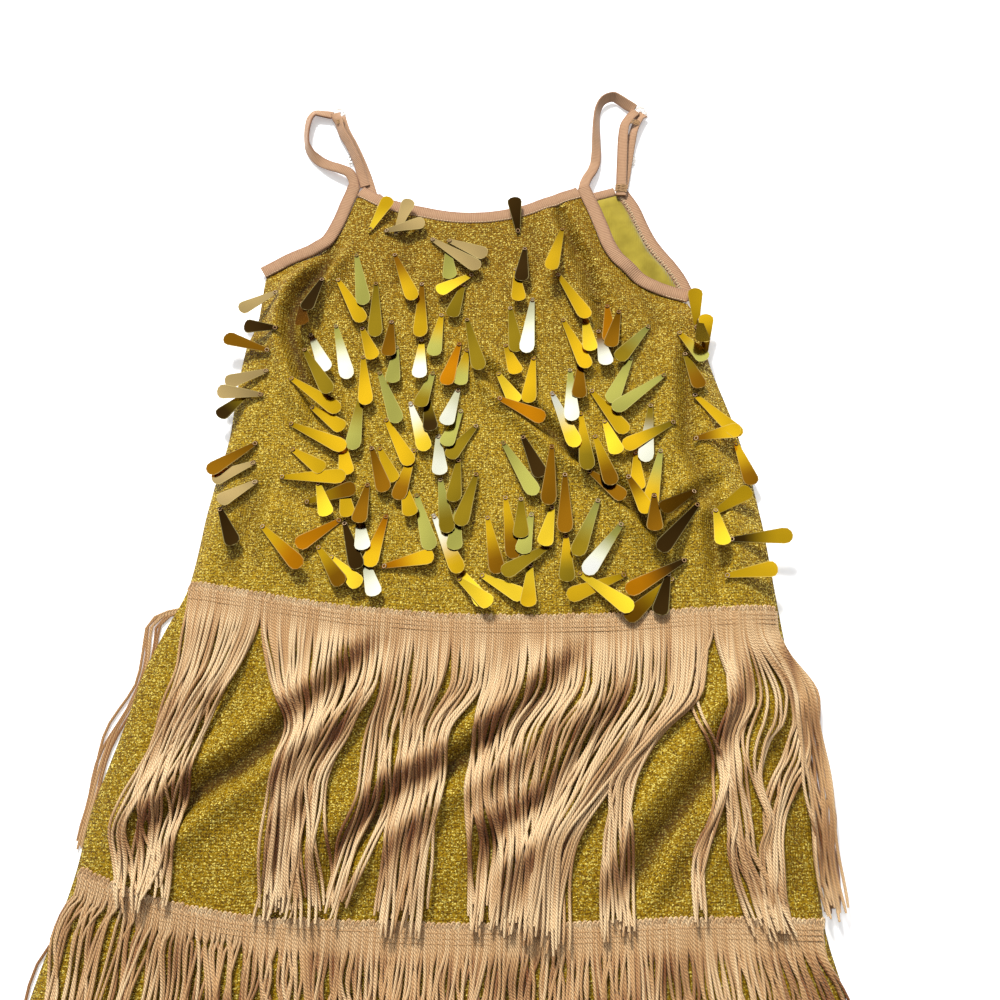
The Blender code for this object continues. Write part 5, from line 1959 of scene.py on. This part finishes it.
    def build(self) -> list[Piece]:
        """Makes the strands, the header's threads and its band."""
        return [self.strands(), self.header(), self.backing()]


@dataclass
class SequinScatter:
    """Loose paddle sequins, each sewn through its narrow end."""

    bench: Bench
    lay: Lay
    view: PhotoView
    across: int = 4
    down: int = 12
    thick: float = 0.2
    narrow: float = 1.0
    eyelet: float = 0.95
    shortest: float = 24.0
    longest: float = 36.0
    tries: int = 16
    # colour of the painted highlight round each sequin's edge
    painted_rim_highlight: Colour = colour(244, 226, 150)
    seed: int = 41
    seats: list[tuple[Array, Array]] = field(default_factory=list)

    def outline(self, s: Array) -> Array:
        """Half width of a sequin from its sewn end to its round end: a straight taper between two rounds.

        Args:
            s: Shares of its length.

        Returns:
            The half width at each share.
        """
        along, big = np.asarray(s, float) * SEQUIN_LONG, SEQUIN_WIDE / 2
        taper = self.narrow + (big - self.narrow) * along / (SEQUIN_LONG - big)
        round_end = np.sqrt(np.clip(big ** 2 - np.maximum(along - SEQUIN_LONG + big, 0.0) ** 2, 0.1, None))
        sewn_end = np.sqrt(np.clip(self.narrow ** 2 - np.maximum(self.narrow - along, 0.0) ** 2, 0.1, None))
        return np.minimum(taper, np.minimum(round_end, sewn_end * 1.02 + along))

    def template(self) -> tuple[Array, list[list[int]]]:
        """A flat sequin with its thickness.

        Returns:
            Its points as (share along, place across, up), and its faces.
        """
        bm = bmesh.new()
        bmesh.ops.create_grid(bm, x_segments=self.across, y_segments=self.down, size=1.0)
        for vert in bm.verts:
            share = (1 - math.cos((vert.co.y + 1) / 2 * math.pi)) / 2
            across = vert.co.x if abs(vert.co.x) > 0.9 else vert.co.x * 1.76
            vert.co = Vector((across * float(self.outline(share)), share, 0.0))
        raised = bmesh.ops.extrude_face_region(bm, geom=bm.faces[:])["geom"]
        bmesh.ops.translate(
            bm, verts=[g for g in raised if isinstance(g, bmesh.types.BMVert)], vec=(0, 0, self.thick)
        )
        bmesh.ops.recalc_face_normals(bm, faces=bm.faces)
        bm.verts.index_update()
        points = np.array([vert.co[:] for vert in bm.verts])
        faces = [[v.index for v in face.verts] for face in bm.faces]
        bm.free()
        return points, faces

    def samples(self, start: Array, end: Array) -> Array:
        """Points spread over a sequin that lies from start to end, the sewn end left out.

        Args:
            start: The sewn end.
            end: The round end.

        Returns:
            The points.
        """
        t = np.linspace(0.1, 1.0, 13)
        run = end - start
        side = np.array([run[1], -run[0], 0.0]) / float(np.hypot(run[0], run[1]))
        half = self.outline(t)
        return np.concatenate([
            start + run * t[:, None] + side * (share * half)[:, None] for share in np.linspace(-1.0, 1.0, 5)
        ])

    def crosses(self, points: Array, other: tuple[Array, Array]) -> bool:
        """Whether points of one sequin lie on both sides of another, or in it.

        Args:
            points: Points of the one.
            other: The other's two ends.

        Returns:
            Whether they cross.
        """
        start, end = other
        run = end - start
        long = float(np.hypot(run[0], run[1]))
        away = points - start
        along = (away[:, 0] * run[0] + away[:, 1] * run[1]) / long ** 2
        across = np.abs(away[:, 0] * run[1] - away[:, 1] * run[0]) / long
        over = (along > 0) & (along < 1) & (across < self.outline(np.clip(along, 0.0, 1.0)) + 0.2)
        if not over.any():
            return False
        above = points[over, 2] - start[2] - along[over] * run[2]
        return bool(above.min() < 0.3 and above.max() > -0.3)

    def find_seats(self) -> None:
        """Works out where each sequin's two ends lie: above the cloth, and clear of the ones before it."""
        luck = random.Random(self.seed)
        for sequin in SEQUINS:
            rise = luck.uniform(3.6, 5.2)
            for attempt in range(self.tries):
                start = self.view.on_cloth(sequin.sewn_x, sequin.sewn_y, 1.0)
                end = self.view.on_cloth(sequin.round_x, sequin.round_y, rise)
                run = end - start
                long = float(np.linalg.norm(run))
                start = end - run / long * min(max(long, self.shortest), self.longest)
                start[2] = float(self.lay.on_front(start[0], start[1])) + 1.0 + 0.16 * attempt
                points = self.samples(start, end)
                sunk = float(np.min(points[:, 2] - self.lay.on_front(points[:, 0], points[:, 1]))) < 0.5
                if not sunk and not any(self.crosses(points, other) for other in self.seats):
                    break
                rise += 0.45
            self.seats.append((start, end))

    def shades(self, tones: str, shape: Array, start: float) -> Array:
        """Colours one sequin's points, with painted reflection along it, a painted highlight on its rim and
        painted shade in its hole.

        Args:
            tones: Its tones, from the sewn end to the round end.
            shape: The template's points.
            start: Where the slow change of its painted reflection starts.

        Returns:
            A colour for each point.
        """
        across, share = shape[:, 0:1], shape[:, 1:2]
        first, last = np.array(Tone[tones[0]].value), np.array(Tone[tones[-1]].value)
        if tones == "W":
            first = (first + np.array(Tone.L.value)) / 2
        blend = smooth_step(0.2, 0.8, share)
        made = (first * (1 - blend) + last * blend) * (0.74 + 0.26 * smooth_step(0.0, 0.7, share))
        # Painted reflection: a slow swell of brightness along the sequin.
        painted_reflection = 0.96 + 0.2 * np.sin(start + 2.6 * share + 0.12 * across)
        # Painted highlight: a thin pale band round the sequin's edge.
        highlit_rim = (np.abs(across) > 0.93 * self.outline(share)) | (share > 0.99)
        made = np.where(highlit_rim, made * 0.6 + np.array(self.painted_rim_highlight) * 0.4, made * painted_reflection)
        # Painted shade: the eyelet shows as a dark spot, standing in for a hole through the foil.
        hole_shade = smooth_step(0.075, 0.05, share) * smooth_step(0.0, 0.02, share)
        return made * (1 - 0.75 * hole_shade)

    def build(self) -> Piece:
        """Makes every sequin, joined in one mesh.

        Returns:
            The new piece.
        """
        self.find_seats()
        luck = random.Random(self.seed + 1)
        shape, faces = self.template()
        verts, every, tones, maps = [], [], [], []
        for number, sequin in enumerate(SEQUINS):
            start, end = self.seats[number]
            along = end - start
            long = float(np.linalg.norm(along))
            along = along / long
            side = np.cross(along, [0.0, 0.0, 1.0])
            side /= np.linalg.norm(side)
            up = np.cross(side, along)
            if up[2] < 0:
                up = -up
            roll = math.radians(luck.uniform(-5, 5))
            wide = side * math.cos(roll) + up * math.sin(roll)
            tall = up * math.cos(roll) - side * math.sin(roll)
            bow = 4 * shape[:, 1] * (1 - shape[:, 1]) * luck.uniform(0.0, 0.35)
            points = start + along * (shape[:, 1:2] * long) + wide * shape[:, 0:1]
            points = points + tall * (shape[:, 2] + bow)[:, None]
            every += [[i + number * len(shape) for i in face] for face in faces]
            verts.append(points)
            tones.append(self.shades(sequin.tones, shape, luck.uniform(0, math.tau)))
            maps.append(np.stack([shape[:, 0] + number * 9.0, shape[:, 1] * long], axis=1))
        mesh = bpy.data.meshes.new("sequins")
        mesh.from_pydata(self.bench.world(np.concatenate(verts)).tolist(), [], every)
        tone = mesh.attributes.new("tone", "FLOAT_COLOR", "POINT")
        tone.data.foreach_set("color", np.concatenate(tones).astype(np.float32).ravel())
        layer = mesh.uv_layers.new(name="run")
        corners = np.array([corner for face in every for corner in face])
        layer.data.foreach_set("uv", np.concatenate(maps)[corners].astype(np.float32).ravel())
        piece = self.bench.place("sequins", mesh, Finish.FOIL.material(), "glitter_knit")
        mesh.set_sharp_from_angle(angle=SEQUIN_SHARP_ANGLE)
        return piece

    def threads(self) -> Piece:
        """Makes the thread that holds each sequin at its hole.

        Returns:
            The new piece.
        """
        luck = random.Random(self.seed + 2)
        steps = 10
        lines = []
        for start, end in self.seats:
            along = (end - start) / np.linalg.norm(end - start)
            side = np.cross(along, [0.0, 0.0, 1.0])
            side /= np.linalg.norm(side)
            turn = np.linspace(0.0, math.tau, steps + 1)[:, None]
            ring = start + along * (1.7 + self.eyelet * np.cos(turn)) + side * (self.eyelet * np.sin(turn))
            lines.append(ring + np.array([0, 0, 0.42]) + np.array([0, 0, 0.25]) * np.cos(turn))
        size = np.full((len(lines), steps + 1), 0.26)
        tube = Copies(6, steps, "sequin_threads")
        tones = np.array([0.35 + 0.65 * luck.random() for _ in lines])
        mesh = tube.join(np.array(lines), size, size, tones, self.bench)
        return self.bench.place("sequin_threads", mesh, Finish.THREAD.material(), "glitter_knit")


@dataclass
class Stitches:
    """Stitch lines that show: along the bindings' inner edges and on the strap ends."""

    bench: Bench
    lay: Lay
    bindings: Bindings
    long: float = 1.05
    gap: float = 0.6
    radius: float = 0.3
    inset: float = 0.45
    above: float = 0.92
    lowest: float = 3.82
    chain_rows: tuple[float, float] = (0.9, 1.7)
    chain_level: float = 1.86
    bar_pitch: float = 0.56
    bars: tuple[Bar, ...] = table(
        Bar, (-81.0, -293.2, 4.9, 0.36, 2.2, 6), (93.6, -292.0, 4.2, -0.28, 2.4, 6),
        (84.6, -245.6, 3.95, -0.1, 3.4, 9),
    )

    def run_of(self, line: Array, zigzag: float) -> list[Array]:
        """Cuts a line into stitches.

        Args:
            line: Points of the stitch line, in (u, v, z).
            zigzag: How far every other stitch swings aside.

        Returns:
            The middle line of each stitch.
        """
        reach = reach_of(line)
        made = []
        t = np.linspace(0.0, 1.0, 7)
        for number, begin in enumerate(np.arange(0.6, reach[-1] - self.long, self.long + self.gap)):
            at = begin + t * self.long
            points = np.stack([np.interp(at, reach, line[:, k]) for k in range(3)], axis=1)
            way = points[-1] - points[0]
            aside = np.array([-way[1], way[0], 0.0]) / (np.linalg.norm(way[:2]) + 1e-9)
            swing = zigzag * (1 if number % 2 else -1)
            points = points + aside * (swing * (t[:, None] - 0.5) * 2)
            points[:, 2] += 0.22 * np.sin(t * math.pi)
            made.append(points)
        return made

    def build(self) -> Piece:
        """Makes every stitch, joined in one mesh.

        Returns:
            The new piece.
        """
        made: list[Array] = []
        rows = (
            (self.bindings.neck_edge(FRONT_NECKLINE, FRONT_ARMHOLES), 1, 0.0),
            (self.bindings.edge(FRONT_ARMHOLE_LEFT), -1, 0.0),
            (self.bindings.edge(FRONT_ARMHOLE_RIGHT), 1, 0.1),
        )
        for edge, outward, zigzag in rows:
            line = offset_line(edge, outward, self.inset)
            top = self.lay.front_top(line[:, 0], line[:, 1]) - CLOTH / 2 + self.above
            made += self.run_of(np.column_stack([line, np.maximum(top, self.lowest)]), zigzag)
        back = self.bindings.edge(BACK_ARMHOLE_RIGHT)
        for away in self.chain_rows:
            line = offset_line(back, 1, away)
            made += self.run_of(np.column_stack([line, np.full(len(line), self.chain_level)]), 0.4)
        seams = len(made)
        t = np.linspace(-1.0, 1.0, 7)
        for bar in self.bars:
            across = np.array([math.cos(bar.turn), -math.sin(bar.turn)])
            down = np.array([math.sin(bar.turn), math.cos(bar.turn)])
            for k in range(bar.rows):
                wave = 0.25 if k % 2 else -0.25
                offset = (k - (bar.rows - 1) / 2) * self.bar_pitch + wave * np.sin(t * 4)
                flat = np.array([bar.u, bar.v]) + np.outer(t * bar.half, across) + np.outer(offset, down)
                made.append(np.column_stack([flat, np.full(7, bar.z)]))
        lines = np.array(made)
        size = np.full(lines.shape[:2], self.radius)
        tube = Copies(5, 6, "stitches")
        tones = np.where(np.arange(len(lines)) < seams, 0.15, 0.75)
        mesh = tube.join(lines, size, size * 0.85, tones, self.bench)
        return self.bench.place("stitches", mesh, Finish.THREAD.material(), "binding_tan")


@dataclass
class Studio:
    """Pale floor and soft light."""

    bench: Bench
    window_lean: float = 38.0
    window_level: float = 1.2
    shade_level: float = 0.24

    def floor(self) -> Piece:
        """Makes the floor.

        Returns:
            The floor.
        """
        bm = bmesh.new()
        bmesh.ops.create_grid(bm, x_segments=4, y_segments=4, size=3.0)
        bmesh.ops.translate(bm, verts=bm.verts, vec=(0, 0, -0.0002))
        mesh = mesh_of(bm, "floor")
        mesh.materials.append(Finish.FLOOR.material())
        floor = bpy.data.objects.new("floor", mesh)
        bpy.context.scene.collection.objects.link(floor)
        return floor

    def light(
        self, name: str, place: tuple[float, float, float], size: float, power: float, mirrored: bool
    ) -> None:
        """Hangs a softbox that points at the middle of the dress.

        Args:
            name: The light's name.
            place: Where it hangs, in metres.
            size: The side of its square.
            power: Its power in watts.
            mirrored: Whether it shows in glossy things.
        """
        data = bpy.data.lights.new(name, "AREA")
        data.shape = "SQUARE"
        data.size = size
        data.energy = power
        lamp = bpy.data.objects.new(name, data)
        lamp.location = place
        way = Vector((0.0, 0.02, 0.0)) - Vector(place)
        lamp.rotation_euler = way.to_track_quat("-Z", "Y").to_euler()
        lamp.visible_glossy = mirrored
        bpy.context.scene.collection.objects.link(lamp)

    def world(self) -> None:
        """Sets the pale surroundings, brighter high up where the window stands."""
        world = bpy.data.worlds.new("surroundings")
        world.use_nodes = True
        tree = world.node_tree
        background = tree.nodes["Background"]
        background.inputs["Color"].default_value = (1.0, 1.0, 1.0, 1.0)
        way = tree.nodes.new("ShaderNodeTexCoord").outputs["Object"]
        facing = tree.nodes.new("ShaderNodeVectorMath")
        facing.operation = "DOT_PRODUCT"
        tree.links.new(way, facing.inputs[0])
        lean = math.radians(self.window_lean)
        facing.inputs[1].default_value = (-0.12, math.sin(lean), math.cos(lean))
        glow = tree.nodes.new("ShaderNodeMapRange")
        glow.interpolation_type = "SMOOTHSTEP"
        for socket, value in (
            ("From Min", math.cos(math.radians(44))), ("From Max", math.cos(math.radians(16))),
            ("To Min", self.shade_level), ("To Max", self.window_level),
        ):
            glow.inputs[socket].default_value = value
        tree.links.new(facing.outputs["Value"], glow.inputs["Value"])
        tree.links.new(glow.outputs["Result"], background.inputs["Strength"])
        bpy.context.scene.world = world

    def build(self) -> None:
        """Sets up the floor, the light and the picture's plain tone curve."""
        self.floor()
        self.world()
        self.light("window", (-0.55, 1.95, 1.70), 0.46, 104.0, False)
        self.light("ceiling", (0.35, -0.35, 1.5), 0.5, 2.0, False)
        bpy.context.scene.view_settings.view_transform = "Standard"


def main() -> None:
    """Builds the dress piece by piece and reports each one."""
    logging.basicConfig(level=logging.INFO, format="%(message)s")
    log = logging.getLogger("dress")
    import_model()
    bench = Bench()
    bench.find_place()
    lay = Lay()
    lay.survey()
    view = PhotoView(bench, lay)
    view.build()
    Studio(bench).build()
    pieces: list[Piece] = []
    front = ClothPanel(
        bench, lay, "cloth_front", FRONT_ARMHOLES, FRONT_NECKLINE, Finish.KNIT, is_front=True
    ).build()
    back = ClothPanel(
        bench, lay, "cloth_back", BACK_ARMHOLES, BACK_NECKLINE, Finish.WRONG_SIDE, is_front=False,
        columns=60, rows=110,
    ).build()
    pieces += [front, back]
    bindings = Bindings(bench, lay)
    trims = bindings.build()
    straps = Straps(bench).build()
    tiers = {
        "upper_front": Fringe(
            bench, lay, "fringe_upper_front", UPPER_BAND, UPPER_FRONT, True, 7, LOWER_BAND
        ),
        "lower_front": Fringe(
            bench, lay, "fringe_lower_front", LOWER_BAND, LOWER_FRONT, True, 11,
            heave=1.3, level=-0.06, patches=0.22,
        ),
        "upper_back": Fringe(
            bench, lay, "fringe_upper_back", UPPER_BAND, UPPER_BACK, False, 13,
            pitch=1.9, around=5, stretches=20,
        ),
        "lower_back": Fringe(
            bench, lay, "fringe_lower_back", LOWER_BAND, LOWER_BACK, False, 17,
            pitch=1.9, around=5, stretches=20,
        ),
    }
    fringes = {key: tier.build() for key, tier in tiers.items()}
    scatter = SequinScatter(bench, lay, view)
    sequins = [scatter.build(), scatter.threads()]
    stitches = Stitches(bench, lay, bindings).build()
    pieces += trims + straps + sequins + [stitches]
    for tier in fringes.values():
        pieces += tier
    for piece in pieces:
        log.info("%s: %d faces", piece.name, len(piece.data.polygons))


if __name__ == "__main__":
    main()
